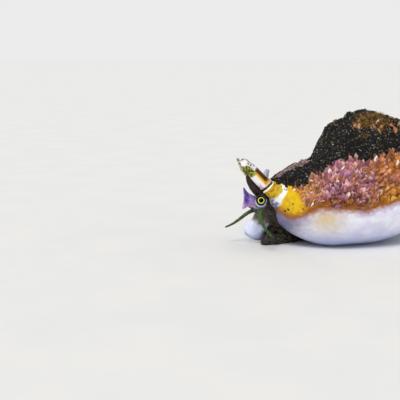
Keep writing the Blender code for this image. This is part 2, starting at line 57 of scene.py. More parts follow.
SHELL_NODES = (
    "shell_body_whorl", "shell_spire", "shell_siphonal_canal", "shell_outer_lip",
    "finger_1", "finger_2", "finger_3", "finger_4", "finger_5", "finger_6",
)
FLESH_NODES = (
    "mantle", "foot_front", "foot_rear", "snout", "eyestalk_left", "eyestalk_right", "tentacle_left",
    "tentacle_right", "siphon",
)

# Edges of the shell's colour zones, as (x, angle from the top in degrees, negative on the left side)
CALLUS_EDGE = ((-33, -165), (-30.8, -152), (-29.9, -148), (-27.1, -144.6), (-24.7, -141), (-21.6, -130),
               (-18.6, -120), (-15.9, -112), (-12.9, -108), (-9, -106.5), (-1, -106.5), (9, -107), (14, -103),
               (25, -99), (40, -97), (60, -95))
CRUST_EDGE = ((-33, -60), (-26.8, -72.6), (-24.9, -81), (-24, -90), (-22.4, -100), (-21, -108.6),
              (-19.4, -116), (-15.9, -109), (-12.9, -106), (-9, -104.5), (-1, -105), (9, -106), (14, -102),
              (25, -99), (40, -97), (60, -95))
SAND_EDGE = ((-33, -52), (-28.6, -63), (-27.8, -74), (-24.5, -77), (-20.8, -79), (-19.4, -74),
             (-18.2, -68.6), (-15.3, -62.4), (-12.6, -64.4), (-10.5, -62), (-7.7, -56), (-6.3, -46),
             (-4.9, -50), (-1.3, -51.5), (2, -53.4), (5, -60), (10, -59), (19, -56), (26, -55), (40, -48),
             (52, -40), (66, -20), (74, 20))
SAND_RIGHT = ((-33, 75), (-10, 66), (5, 56), (20, 52), (40, 46), (52, 30), (66, 10), (74, 0))

# What a zone's attribute reads where the zone doesn't reach
OUTSIDE = -20.0

# The two planes that band the front of the shell: the collar of the canal and the second white band
COLLAR_POINT, COLLAR_AHEAD = (-34.0, -6.9, 33.8), (-0.603, 0.194, 0.773)
BAND_POINT, BAND_AHEAD = (-28.6, -11.0, 29.0), (-0.921, -0.334, 0.197)
PATCH_LENGTH = 8.0

# A point in the middle of the canal, which way its back faces, and which way it runs
CANAL_POINT, CANAL_UP = (-37.2, -3.0, 34.0), (0.7165, 0.0, 0.6975)
CANAL_AHEAD = (-0.728, -0.034, 0.684)

# The bare ridge as its middle and reach along x and in degrees, the cream in the callus, the limits of the
# lip's clean lobe, and the painted blue shadow behind the eye
RIDGE_X, RIDGE_DEG = (-18.5, 10.5), (1.0, 22.0)
CREAM_MIDDLE = (-11.0, -23.0, 18.0)
LOBE_X, LOBE_Z = (-20.0, -11.0), (7.0, 10.8)
BLUE_SHADOW = (-30.8, -5.6, 23.2)

# Dark specks on the yellow front: x, y, z and reach
SPECKS = ((-25.2, -14.2, 24.9, 0.75), (-26.7, -11.7, 21.7, 0.95), (-27.6, -10.1, 20.9, 0.8),
          (-28.5, -10.6, 31.8, 0.6))

# Where the algae stands thickest: x, y, z and reach
TUFTS = ((18.0, -5.0, 64.5, 4.6), (27.0, -3.0, 66.5, 5.0), (27.0, -13.0, 63.5, 4.0), (11.0, -20.0, 57.0, 2.4),
         (20.0, -12.0, 61.5, 4.4), (14.0, -10.0, 62.0, 3.6), (23.0, -17.0, 58.0, 3.0))

# Lumps of crust that stand out of the sand on the crest: x, y, z and reach
LEDGES = ((19.4, -14.6, 60.5, 2.6), (10.6, -12.0, 60.0, 1.7), (10.9, 9.0, 63.3, 1.8),
          (31.0, -17.0, 60.0, 2.0))

# Patches of the crust that stand out: place, reach and screen colour
CRUST_PATCHES = (
    ((-7.0, -26.2, 32.5), 6.5, (134, 76, 136)),
    ((-13.0, -22.5, 34.0), 5.0, (192, 122, 138)),
    ((-21.0, -17.0, 31.0), 6.0, (206, 140, 66)),
    ((19.4, -14.6, 60.5), 5.0, (176, 104, 52)),
    ((10.6, -12.0, 60.0), 4.0, (158, 122, 96)),
    ((10.9, 9.0, 63.3), 5.0, (140, 56, 40)),
    ((22.0, -28.5, 45.0), 9.0, (210, 120, 18)),
    ((0.0, -29.0, 28.5), 7.0, (128, 62, 26)),
    ((20.0, -31.5, 29.0), 11.0, (216, 148, 24)),
    ((3.0, -27.0, 41.0), 4.0, (200, 148, 138)),
    ((6.6, -27.6, 43.1), 1.7, (222, 190, 40)),
    # The small pale pink-white spots are white bits of the crust and also painted highlights.
    ((-2.1, -16.0, 44.6), 1.9, (240, 216, 208)),
    ((-4.1, -20.7, 41.2), 1.9, (240, 208, 200)),
    ((3.1, -27.1, 40.7), 1.8, (240, 212, 196)),
    ((-13.1, -23.0, 32.7), 1.9, (238, 206, 212)),
    ((-14.8, -22.8, 27.5), 1.9, (236, 190, 150)),
    ((-8.7, -26.0, 26.1), 1.9, (236, 200, 160)),
    ((8.5, -30.2, 26.5), 1.9, (236, 210, 170)),
    ((7.5, -30.0, 32.0), 2.0, (232, 184, 172)),
)

# The eyes, the rims round them and which way each looks, and how far the snout leans forward
EYE_RADIUS = 2.45
EYE_RIM_RADIUS = 2.68
EYE_RIM_THICKNESS = 0.25
GAZES = (("left", (-0.35, -0.91, 0.2)), ("right", (-0.5, 0.8, 0.3)))
SNOUT_LEAN = 0.2

# How far each part swells before it is fused, and the voxels of each skin
SHELL_SWELL, FLESH_SWELL = 0.2, 0.16
SHELL_VOXEL, FLESH_VOXEL, CLAW_VOXEL = 0.5, 0.25, 0.3

# What is strewn over the shell, and the highest and leftmost that it reaches
GRAINS, BLADES, STRANDS = 23000, 7200, 6000
GRAIN_SIZE = 0.23
BLADE_SIZE = (2.4, 0.58, 0.16)
TOP = 70.2
LEFT_SIDE = -35.2

# The bake map holds x and the angle about the coil from these values on, inside an edge
BAKE_FROM, BAKE_SPAN = (-60.0, -210.0), (180.0, 360.0)
BAKE_EDGE, BAKE_PATCH = 0.05, 0.0015

# Points nearer the floor than this are eased up off it
FLOOR_MARGIN = 0.25


def colour(red, green, blue):
    """Linear colour from the 0 to 255 numbers of a screen colour."""
    parts = [c / 255 for c in (red, green, blue)]
    return (*[p / 12.92 if p <= 0.04045 else ((p + 0.055) / 1.055) ** 2.4 for p in parts], 1.0)


def smooth(values, low, high):
    """0 below low, 1 above high, and smooth between them. High may be under low."""
    t = np.clip((values - low) / (high - low), 0, 1)
    return t * t * (3 - 2 * t)


def noise_at(points, size, seed=0.0):
    """Noise from -1 to 1 with features of a size."""
    return np.array([noise.noise(p) for p in (points / size + seed).tolist()])


def rough_at(points, size, seed=0.0):
    """The same with finer and finer noise on it."""
    return np.array([noise.fractal(p, 0.8, 2.1, 4) for p in (points / size + seed).tolist()])


def unit(vectors):
    """The vectors at length 1."""
    return vectors / np.linalg.norm(vectors, axis=1)[:, None]


def nearness(points, middle, reach):
    """1 at a place, fading away from it over a reach."""
    return np.exp(-(((points - middle) ** 2).sum(1) / reach**2))


class Surface:
    """The points of a mesh in shell millimetres, with what is needed to smooth and shape them."""

    def __init__(self, mesh):
        self.mesh = mesh
        flat = np.empty(len(mesh.vertices) * 3)
        mesh.vertices.foreach_get("co", flat)
        self.points = flat.reshape(-1, 3) / MM + ORIGIN
        ends = np.empty(len(mesh.edges) * 2, int)
        mesh.edges.foreach_get("vertices", ends)
        self.a, self.b = ends.reshape(-1, 2).T
        self.degree = np.maximum(1, np.bincount(ends, minlength=len(self.points)))

    def around(self, values):
        """The mean over each point's neighbours."""
        if values.ndim == 2:
            return np.stack([self.around(column) for column in values.T], 1)
        count = len(values)
        total = np.bincount(self.a, values[self.b], count) + np.bincount(self.b, values[self.a], count)
        return total / self.degree

    def blur(self, values, times, share=0.5):
        for _ in range(times):
            values = values + share * (self.around(values) - values)
        return values

    def write(self):
        """Puts the points back into the mesh, none of them under the floor."""
        low = np.minimum(self.points[:, 2] - ORIGIN[2], FLOOR_MARGIN)
        self.points[:, 2] += FLOOR_MARGIN * np.exp(low / FLOOR_MARGIN - 1) - low
        self.mesh.vertices.foreach_set("co", ((self.points - ORIGIN) * MM).ravel())
        self.mesh.update()

    def normals(self):
        self.write()
        flat = np.empty(len(self.points) * 3)
        self.mesh.vertex_normals.foreach_get("vector", flat)
        return flat.reshape(-1, 3)

    def relax(self, times):
        """Evens out the steps of the voxels without shrinking the shape."""
        for _ in range(times):
            for share in (0.5, -0.52):
                self.points = self.points + share * (self.around(self.points) - self.points)

    def fillet(self, times, weight):
        """Fills creases, and only creases, as far as the weight of each point allows."""
        for k in range(times):
            if k % 5 == 0:
                normals = self.normals()
            inward = ((self.around(self.points) - self.points) * normals).sum(1)
            self.points = self.points + (0.7 * np.maximum(inward, 0) * weight)[:, None] * normals

    def push(self, heights):
        self.points = self.points + heights[:, None] * self.normals()


def store(mesh, fields):
    """Keeps values at each point of a mesh, for its material to read."""
    for name, values in fields.items():
        attribute = mesh.attributes.new(name, "FLOAT", "POINT")
        attribute.data.foreach_set("value", np.asarray(values, np.float32))


def welded(node):
    """The points and faces of a CAD node with its split corners joined again."""
    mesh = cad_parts[node].data
    index, points, new = {}, [], []
    for vertex in mesh.vertices:
        key = tuple(round(c * 1e7) for c in vertex.co)
        if key not in index:
            index[key] = len(points)
            points.append(vertex.co.copy())
        new.append(index[key])
    faces = []
    for polygon in mesh.polygons:
        face = [new[v] for v in polygon.vertices]
        if len(set(face)) == len(face):
            faces.append(face)
    return points, faces


def add_mesh(name, points, faces, material=None):
    mesh = bpy.data.meshes.new(name)
    mesh.from_pydata(points, [], faces)
    mesh.update()
    obj = bpy.data.objects.new(name, mesh)
    bpy.context.scene.collection.objects.link(obj)
    if material:
        mesh.materials.append(material)
    return obj


def fused(name, nodes, swell, voxel, extra=()):
    """One skin over several nodes, each swollen a little so that the gaps between them close."""
    points, faces, owners = [], [], []
    for number, node in enumerate(nodes):
        own_points, own_faces = welded(node)
        helper = add_mesh("helper", own_points, own_faces)
        normals = np.empty(len(own_points) * 3)
        helper.data.vertex_normals.foreach_get("vector", normals)
        own_points = np.array(own_points) + normals.reshape(-1, 3) * swell * MM
        bpy.data.objects.remove(helper)
        faces += [[v + len(points) for v in face] for face in own_faces]
        owners += [number] * len(own_faces)
        points += own_points.tolist()
    tree = BVHTree.FromPolygons(points, faces)
    for more_points, more_faces in extra:
        faces += [[v + len(points) for v in face] for face in more_faces]
        points += ((np.array(more_points) - ORIGIN) * MM).tolist()
    obj = add_mesh(name, points, faces)
    modifier = obj.modifiers.new("remesh", "REMESH")
    modifier.mode = "VOXEL"
    modifier.voxel_size = voxel * MM
    graph = bpy.context.evaluated_depsgraph_get()
    mesh = bpy.data.meshes.new_from_object(obj.evaluated_get(graph))
    obj.modifiers.clear()
    obj.data = mesh
    mesh.name = name
    mesh.shade_smooth()
    surface = Surface(mesh)
    near = [tree.find_nearest(p)[2] for p in ((surface.points - ORIGIN) * MM).tolist()]
    return obj, surface, np.array(owners)[near]


class Finish:
    """A procedural material, built up from small steps. Textures run in shell millimetres."""

    def __init__(self, name, **sockets):
        self.material = bpy.data.materials.new(name)
        self.material.use_nodes = True
        self.tree = self.material.node_tree
        self.shader = self.tree.nodes["Principled BSDF"]
        for key, setting in sockets.items():
            self.put(key.replace("_", " ").title().replace("Ior", "IOR"), setting)
        where = self.node("ShaderNodeTexCoord").outputs["Object"]
        self.place = self.moved(where, (1 / MM,) * 3, tuple(ORIGIN))

    def node(self, kind, inputs=(), **settings):
        made = self.tree.nodes.new(kind)
        for key, setting in settings.items():
            setattr(made, key, setting)
        for number, given in enumerate(inputs):
            self.feed(made.inputs[number], given)
        return made

    def feed(self, socket, given):
        """Links or sets an input. Three numbers for a colour are those of a screen colour."""
        if isinstance(given, bpy.types.NodeSocket):
            self.tree.links.new(given, socket)
        elif socket.type == "RGBA" and len(given) == 3:
            socket.default_value = colour(*given)
        else:
            socket.default_value = given

    def put(self, name, given):
        self.feed(self.shader.inputs[name], given)

    def math(self, operation, *inputs):
        return self.node("ShaderNodeMath", inputs, operation=operation).outputs[0]

    def add(self, a, b):
        return self.math("ADD", a, b)

    def times(self, a, b):
        return self.math("MULTIPLY", a, b)

    def most(self, a, b):
        return self.math("MAXIMUM", a, b)

    def swing(self, given, reach):
        """What runs from 0 to 1, as half a reach either way."""
        return self.times(self.add(given, -0.5), reach)

    def rise(self, given, low, high):
        """0 below low, 1 above high, and smooth between them. High may be under low."""
        limits = (given, low, high, 0.0, 1.0)
        return self.node("ShaderNodeMapRange", limits, interpolation_type="SMOOTHSTEP").outputs[0]

    def within(self, given, low, high, soft):
        """1 from low to high, fading to 0 over soft at both."""
        start = self.rise(given, low - soft, low + soft)
        return self.times(start, self.rise(given, high + soft, high - soft))

    def mix(self, share, first, second, kind="MIX"):
        made = self.node("ShaderNodeMix", data_type="RGBA", blend_type=kind)
        for number, given in ((0, share), (6, first), (7, second)):
            self.feed(made.inputs[number], given)
        return made.outputs[2]

    def shade(self, share, dark, base):
        """Base, darkened to dark times itself where share is 1."""
        return self.mix(share, base, (dark, dark, dark, 1.0), "MULTIPLY")

    def moved(self, place, factors, shift):
        """A place times a factor along each axis, plus a shift."""
        return self.node("ShaderNodeVectorMath", (place, factors, shift), operation="MULTIPLY_ADD").outputs[0]

    def noise(self, size, detail=3.0, roughness=0.55, stretch=(1, 1, 1), seed=0.0):
        """Noise from 0 to 1 with features of a size in millimetres, times a stretch along each axis."""
        where = self.moved(self.place, tuple(1 / (size * s) for s in stretch), (seed,) * 3)
        made = self.node("ShaderNodeTexNoise")
        for key, given in (("Vector", where), ("Scale", 1.0), ("Detail", detail), ("Roughness", roughness)):
            self.feed(made.inputs[key], given)
        return made.outputs[0]

    def fade(self, given, low, high, first, second):
        """The first colour below low, turning to the second above high. High may be under low."""
        return self.mix(self.rise(given, low, high), first, second)

    def patches(self, first, second, size, detail, seed, low, high):
        """The first colour, with patches of the second where noise rises from low to high."""
        return self.fade(self.noise(size, detail, seed=seed), low, high, first, second)

    def cells(self, size, seed=0.0):
        """The distance to the nearest of many scattered points, in sizes."""
        made = self.node("ShaderNodeTexVoronoi")
        self.feed(made.inputs["Vector"], self.moved(self.place, (1 / size,) * 3, (seed,) * 3))
        self.feed(made.inputs["Scale"], 1.0)
        return made.outputs["Distance"]

    def attributes(self, *names):
        return [self.node("ShaderNodeAttribute", attribute_name=name).outputs["Fac"] for name in names]

    def attribute(self, name):
        return self.attributes(name)[0]

    def coordinate(self, axis):
        return self.node("ShaderNodeSeparateXYZ", (self.place,)).outputs[axis]

    def spot(self, centre, inner, outer, wobble):
        """1 within inner millimetres of a point, fading to 0 at outer, with an uneven edge."""
        far = self.node("ShaderNodeVectorMath", (self.place, tuple(centre)), operation="DISTANCE")
        return self.rise(self.add(far.outputs["Value"], wobble), outer, inner)

    def bump(self, height, depth):
        """Relief of a depth in millimetres for heights from 0 to 1."""
        made = self.node("ShaderNodeBump")
        made.inputs["Distance"].default_value = depth * MM
        self.feed(made.inputs["Height"], height)
        return made.outputs[0]


def coil_place(points):
    """Position along the axis, angle about it from -210 to 150 degrees, and radius."""
    angle = np.degrees(np.arctan2(points[:, 1], points[:, 2] - AXIS_Z))
    angle = np.where(angle > 150, angle - 360, angle)
    return points[:, 0], angle, np.hypot(points[:, 1], points[:, 2] - AXIS_Z)


def front_place(points):
    """How far ahead a point is: above 0 on the canal, -8 at the second white band, less behind it."""
    ahead = (points - COLLAR_POINT) @ np.array(COLLAR_AHEAD)
    behind = (points - BAND_POINT) @ np.array(BAND_AHEAD)
    below = np.maximum(-ahead, 1e-6)
    share = below / (below + np.maximum(behind, 1e-6))
    return np.where(ahead > 0, ahead, np.where(behind < 0, behind - PATCH_LENGTH, -PATCH_LENGTH * share))


def limit(table, x):
    """The angle of a zone's edge at each x."""
    return np.interp(x, [row[0] for row in table], [row[1] for row in table])


def shape_shell():
    """The shell's one skin: its parts fused, its creases filled, and its crust, bands and ridges raised."""
    obj, surface, owner = fused("shell", SHELL_NODES, SHELL_SWELL, SHELL_VOXEL)
    surface.relax(4)
    whorl = owner < 2
    canal = owner == 2
    lip = owner > 2
    fingers = (owner > 3) * 1.0
    seam = sum(np.abs(surface.around(g) - g) for g in (lip * 1.0, fingers, (owner == 1) * 1.0))
    weight = np.clip(surface.blur(np.minimum(seam * 3, 1), 60) * 14, 0, 1)
    surface.fillet(90, weight * (1 - surface.blur(canal * 1.0, 6)))
    surface.relax(3)

    x, angle, radius = coil_place(surface.points)
    front = front_place(surface.points)
    arc = np.radians(1) * np.maximum(radius, 4)
    body = surface.blur(whorl * 1.0, 4)
    lips = surface.blur(lip * 1.0, 6)
    callus = np.maximum((limit(CALLUS_EDGE, x) - angle) * arc, (angle - 100) * arc)
    crust = (angle - limit(CRUST_EDGE, x)) * arc
    sand = np.minimum((angle - limit(SAND_EDGE, x)) * arc, (limit(SAND_RIGHT, x) - angle) * arc)
    sand = np.where(whorl, sand, OUTSIDE)
    callus = np.where(whorl, callus, OUTSIDE)
    crust = np.where(whorl, crust, np.where(canal, OUTSIDE, 6.0))
    crust = np.where(whorl & (front > -10.0), np.minimum(crust, -10.0 - front), crust)
    sand, callus, crust = (surface.blur(v, 3) for v in (sand, callus, crust))

    normals = surface.normals()
    under = surface.blur(smooth(-normals[:, 2], 0.0, 0.35) * lips, 6)
    lump = 0.5 + 0.5 * rough_at(surface.points, 5.0, 3.0)
    streak = streaks(surface.points)
    crusty = smooth(crust, 0.0, 2.5) * (1 - smooth(callus, -1.0, 0.5)) * (1 - under) * ~canal
    rough = body + 0.35 * (1 - body)
    height = crusty * rough * (0.35 * lump + 0.75 * np.maximum(streak, 0) - 0.25)
    buried = smooth(sand, -0.5, 1.5)
    height = height * (1 - 0.6 * buried) + buried * (0.45 + 0.35 * rough_at(surface.points, 2.2, 9.0))
    height += collar_relief(surface.points, front)
    surface.push(surface.blur(height, 1, 0.3))
    surface.write()
    bare = smooth(np.hypot((x - RIDGE_X[0]) / RIDGE_X[1], (angle - RIDGE_DEG[0]) / RIDGE_DEG[1])
                  + 0.35 * noise_at(surface.points, 3.0, 14.0), 1.05, 0.85) * whorl
    fields = {
        "bare": bare, "inside": canal_inside(surface) * canal, "sand": sand, "callus": callus, "crust": crust,
        "front": front, "lips": lips, "under": under, "finger": surface.blur(fingers, 8),
        "rise": (surface.points - CANAL_POINT) @ np.array(CANAL_UP), "relief": height,
    }
    store(surface.mesh, fields)
    return obj, surface, {**fields, "crusty": crusty * body}


def canal_inside(surface):
    """1 on the inner wall of the canal's gutter and 0 on its outer wall."""
    away = surface.points - CANAL_POINT
    away = away - (away @ np.array(CANAL_AHEAD))[:, None] * np.array(CANAL_AHEAD)
    far = np.maximum(np.linalg.norm(away, axis=1), 1e-6)
    inward = -(surface.normals() * away).sum(1) / far
    return surface.blur(smooth(inward, -0.3, 0.4) * smooth(far, 3.6, 3.0), 2)


def streaks(points):
    """Ridges that run up and back over the left side, as the crust grows."""
    x, angle, radius = coil_place(points)
    around = np.radians(angle) * 30
    along = 0.6 * x + 0.8 * around
    across = 0.8 * x - 0.6 * around
    grid = np.stack([along / 3.6, across / 1.5, radius / 3.0], 1)
    return 1 - 2.6 * np.abs(noise_at(grid, 1.0, 5.0))


def collar_relief(points, front):
    """The groove and the raised ring where the canal leaves the body."""
    wander = front + 0.35 * noise_at(points, 1.6, 30.0)
    groove = -0.8 * np.exp(-(((wander - 0.6) / 0.5) ** 2))
    ring = 0.5 * np.exp(-(((wander + 0.6) / 0.55) ** 2))
    ridge = 0.3 * np.exp(-(((wander - 1.7) / 0.5) ** 2))
    near = smooth(points[:, 2], 24, 28)
    return (groove + ring + ridge) * near


def shell_finish():
    f = Finish("shell_finish", specular_ior_level=0.32)
    sand, callus, crust, front = f.attributes("sand", "callus", "crust", "front")
    lips, under, relief, finger = f.attributes("lips", "under", "relief", "finger")
    fine, medium = f.noise(0.7, 4), f.noise(2.2, 4, seed=3.1)
    wobble = f.swing(medium, 4.0)

    white = glaze_colours(f, callus, wobble)
    yellow = f.fade(medium, 0.35, 0.7, (226, 188, 2), (206, 156, 2))
    amber = f.rise(f.add(callus, wobble), -5.5, -0.4)
    yellow = f.mix(amber, yellow, (148, 80, 2))
    bare = f.fade(medium, 0.35, 0.65, (104, 84, 94), (168, 142, 136))
    bare = f.patches(bare, (112, 62, 58), 1.5, 3, 8.0, 0.56, 0.66)
    bare = f.mix(f.times(f.rise(front, -14.0, -9.0), f.rise(fine, 0.4, 0.6)), bare, (128, 40, 26))

    base = front_bands(f, medium, fine, white, yellow)
    low = f.rise(f.add(callus, wobble), -8.0, -1.5)
    crusted = f.fade(relief, 0.8, 0.2, crust_colours(f, low, front), gap_colours(f, front))
    edge = f.add(crust, f.add(wobble, f.swing(fine, 2.0)))
    base = f.mix(f.times(f.rise(edge, -2.0, 1.0), 0.8), base, f.mix(low, (210, 138, 20), (142, 76, 10)))
    base = f.fade(edge, 0.2, 3.0, base, crusted)
    base = f.mix(lips, base, lip_colours(f, finger, white))
    base = f.mix(under, base, white)
    glossy = f.rise(f.add(callus, f.times(wobble, 0.8)), -1.9, 1.7)
    base = f.mix(glossy, base, white)
    ragged = f.swing(f.noise(0.7, 4, seed=25.0), 2.2)
    for *spot, reach in SPECKS:
        base = f.mix(f.spot(spot, 0.5 * reach, reach, ragged), base, (34, 26, 12))
    sandy = f.rise(f.add(sand, f.swing(medium, 5.0)), -0.3, 0.3)
    black = f.patches((8, 8, 9), (34, 31, 26), 0.5, 3, 4.0, 0.5, 0.75)
    base = f.mix(sandy, base, black)
    base = f.fade(f.add(f.attribute("bare"), f.swing(fine, 0.8)), 0.35, 0.6, base, bare)
    f.put("Base Color", base)

    clean = f.times(f.rise(crust, 0.0, -1.5), f.rise(sand, 0.0, -1.5))
    gloss = f.most(f.most(glossy, under), f.most(clean, f.times(finger, 0.7)))
    f.put("Roughness", f.add(f.times(gloss, -0.42), f.add(0.62, f.times(fine, 0.25))))
    rough = f.times(fine, f.add(1.0, f.times(gloss, -0.93)))
    f.put("Normal", f.bump(f.add(f.times(f.cells(0.6), sandy), rough), 0.35))
    return f.material


def glaze_colours(f, callus, wobble):
    """The bare glazed shell of the callus: lavender white, cream in the middle, with painted shade that makes
    it bluer ahead and below.
    """
    broad = f.noise(8.0, 3, seed=7.7)
    white = f.fade(broad, 0.35, 0.65, (238, 239, 249), (220, 218, 242))
    # Painted shade: bluer towards the bottom.
    low = f.rise(f.add(f.coordinate("Z"), f.times(wobble, 0.5)), 13.0, 2.0)
    white = f.mix(f.times(low, 0.75), white, (158, 168, 214))
    cream = f.spot(CREAM_MIDDLE, -4.0, 16.0, f.times(wobble, 2.6))
    white = f.mix(cream, white, (206, 182, 128))
    # Painted shade: a dark lilac blue over the front end, away from the lip.
    lilac = f.rise(f.add(f.coordinate("X"), f.times(wobble, 1.4)), -14.0, -26.5)
    lilac = f.times(lilac, f.rise(f.attribute("lips"), 0.6, 0.2))
    white = f.mix(f.times(lilac, 0.92), white, f.fade(broad, 0.4, 0.6, (70, 66, 98), (104, 104, 142)))
    stain = f.add(callus, f.swing(f.noise(3.5, 4, seed=12.0), 9.0))
    white = f.mix(f.times(f.within(stain, -0.5, 1.6, 1.6), 0.6), white, (176, 132, 152))
    return f.fade(f.cells(2.6, seed=2.0), 0.075, 0.05, white, (66, 58, 56))


def golden(f):
    """Where the crust turns from pink ahead to golden orange behind."""
    return f.rise(f.add(f.coordinate("X"), f.swing(f.noise(4.0, 3, seed=18.0), 24.0)), 4.0, 18.0)


def crust_colours(f, low, front):
    """Pinks, lilacs and oranges in patches, the same for the shell and for the blades that stand on it."""
    away = f.swing(f.noise(3.0, 4, seed=2.9), 9.0)
    look = f.patches((188, 116, 124), (192, 120, 92), 4.0, 4, 1.3, 0.4, 0.6)
    look = f.patches(look, (162, 102, 148), 4.5, 4, 9.3, 0.50, 0.62)
    behind = golden(f)
    share = f.add(0.35, f.times(behind, 0.65))
    look = f.mix(f.times(f.rise(f.noise(5.0, 4, seed=4.3), 0.5, 0.6), share), look, (190, 108, 18))
    for place, reach, shade in CRUST_PATCHES:
        look = f.mix(f.times(f.spot(place, 0.3 * reach, reach, away), 0.85), look, shade)
    look = f.patches(look, (232, 200, 182), 1.1, 4, 5.9, 0.68, 0.76)
    amber = f.mix(behind, (138, 70, 8), (190, 116, 16))
    look = f.mix(f.times(low, f.rise(f.noise(1.6, 4, seed=7.1), 0.76, 0.54)), look, amber)
    look = f.mix(f.times(f.rise(f.add(front, away), -19.0, -13.0), 0.8), look, (222, 154, 92))
    return f.patches(look, (34, 18, 26), 1.0, 2, 17.0, 0.68, 0.71)


def gap_colours(f, front):
    """What shows between the blades of the crust: ochre and brown, turning to amber ahead."""
    gaps = f.patches((164, 92, 10), (98, 48, 16), 2.8, 4, 6.2, 0.38, 0.62)
    gaps = f.mix(f.times(golden(f), 0.8), gaps, (190, 118, 14))
    return f.fade(front, -18.0, -12.0, gaps, (208, 142, 10))


def lip_colours(f, finger, white):
    """The outer side of the lip, stained and crusted above, clean at the front lobe and on the fingers."""
    medium = f.noise(2.2, 4, seed=6.4)
    stain = f.fade(medium, 0.3, 0.7, (222, 208, 198), (192, 156, 138))
    stain = f.fade(f.noise(6.0, 6, 0.7, seed=2.2), 0.48, 0.66, stain, (150, 92, 52))
    stain = f.fade(f.noise(4.0, 6, 0.7, seed=8.2), 0.54, 0.68, stain, (178, 116, 126))
    horn = f.fade(f.noise(1.4, 3, stretch=(1, 1, 4), seed=3.3), 0.4, 0.65, (226, 220, 226), (190, 172, 168))
    height = f.coordinate("Z")
    horn = f.fade(height, 18.0, 32.0, horn, (150, 160, 206))
    broad = f.swing(f.noise(6.0, 4, seed=21.0), 14.0)
    x, z = f.add(f.coordinate("X"), broad), f.add(height, f.times(broad, 0.2))
    lobe = f.times(f.rise(x, LOBE_X[1], LOBE_X[0]), f.rise(z, LOBE_Z[1], LOBE_Z[0]))
    # Dark olive patches above the clean lobe.
    olive_patch = f.times(f.rise(x, LOBE_X[1] + 12.0, LOBE_X[1] - 2.0), f.rise(z, 6.0, 10.0))
    stain = f.mix(f.times(olive_patch, f.rise(medium, 0.25, 0.55)), stain, (62, 58, 32))
    stain = f.mix(lobe, stain, f.fade(medium, 0.3, 0.7, (206, 216, 250), (228, 232, 252)))
    return f.mix(finger, stain, horn)


def front_bands(f, medium, fine, white, yellow):
    """The banding ahead of the crust: yellow zone, second white band, ochre patch, collar and canal."""
    front, rise = f.attributes("front", "rise")
    jitter = f.add(medium, -0.5)
    place = f.add(front, f.times(jitter, 1.2))
    height = f.coordinate("Z")
    ochre = f.fade(medium, 0.4, 0.6, (204, 166, 4), (154, 108, 4))
    ochre = f.fade(place, -2.6, -1.2, ochre, (204, 172, 62))
    ochre = f.mix(f.times(f.rise(place, -5.0, -6.8), 0.7), ochre, (204, 188, 50))
    # A painted blue shadow on the white band behind the eye, with a streaky edge.
    painted_shadow_blue = f.patches((50, 72, 140), (136, 152, 200), 0.9, 3, 15.0, 0.42, 0.6)
    ragged = f.swing(f.noise(1.7, 5, 0.65, stretch=(1.6, 1, 0.7), seed=22.0), 13.0)
    snow = f.mix(f.times(f.spot(BLUE_SHADOW, 1.2, 3.4, ragged), 0.9), (244, 242, 240), painted_shadow_blue)
    lower = f.times(f.most(f.add(27.0, f.times(height, -1.0)), 0.0), 0.24)
    paint = f.fade(f.add(f.add(front, lower), f.times(jitter, 0.5)), -8.2, -7.9, yellow, snow)
    patch = f.rise(f.add(front, f.times(jitter, 0.8)), -7.2, -6.8)
    patch = f.times(patch, f.rise(f.add(height, jitter), 26.4, 27.6))
    paint = f.mix(patch, paint, ochre)
    wander = f.add(front, f.times(jitter, 0.9))
    paint = f.mix(f.within(wander, -1.0, -0.05, 0.12), paint, (246, 238, 214))
    paint = f.mix(f.within(f.add(wander, f.times(fine, 0.5)), 0.3, 1.15, 0.1), paint, (34, 24, 14))
    paint = f.fade(f.cells(3.0, seed=6.6), 0.09, 0.06, paint, (40, 32, 20))
    return f.fade(wander, 1.0, 1.2, paint, horn_colours(f, place, rise, fine, jitter))


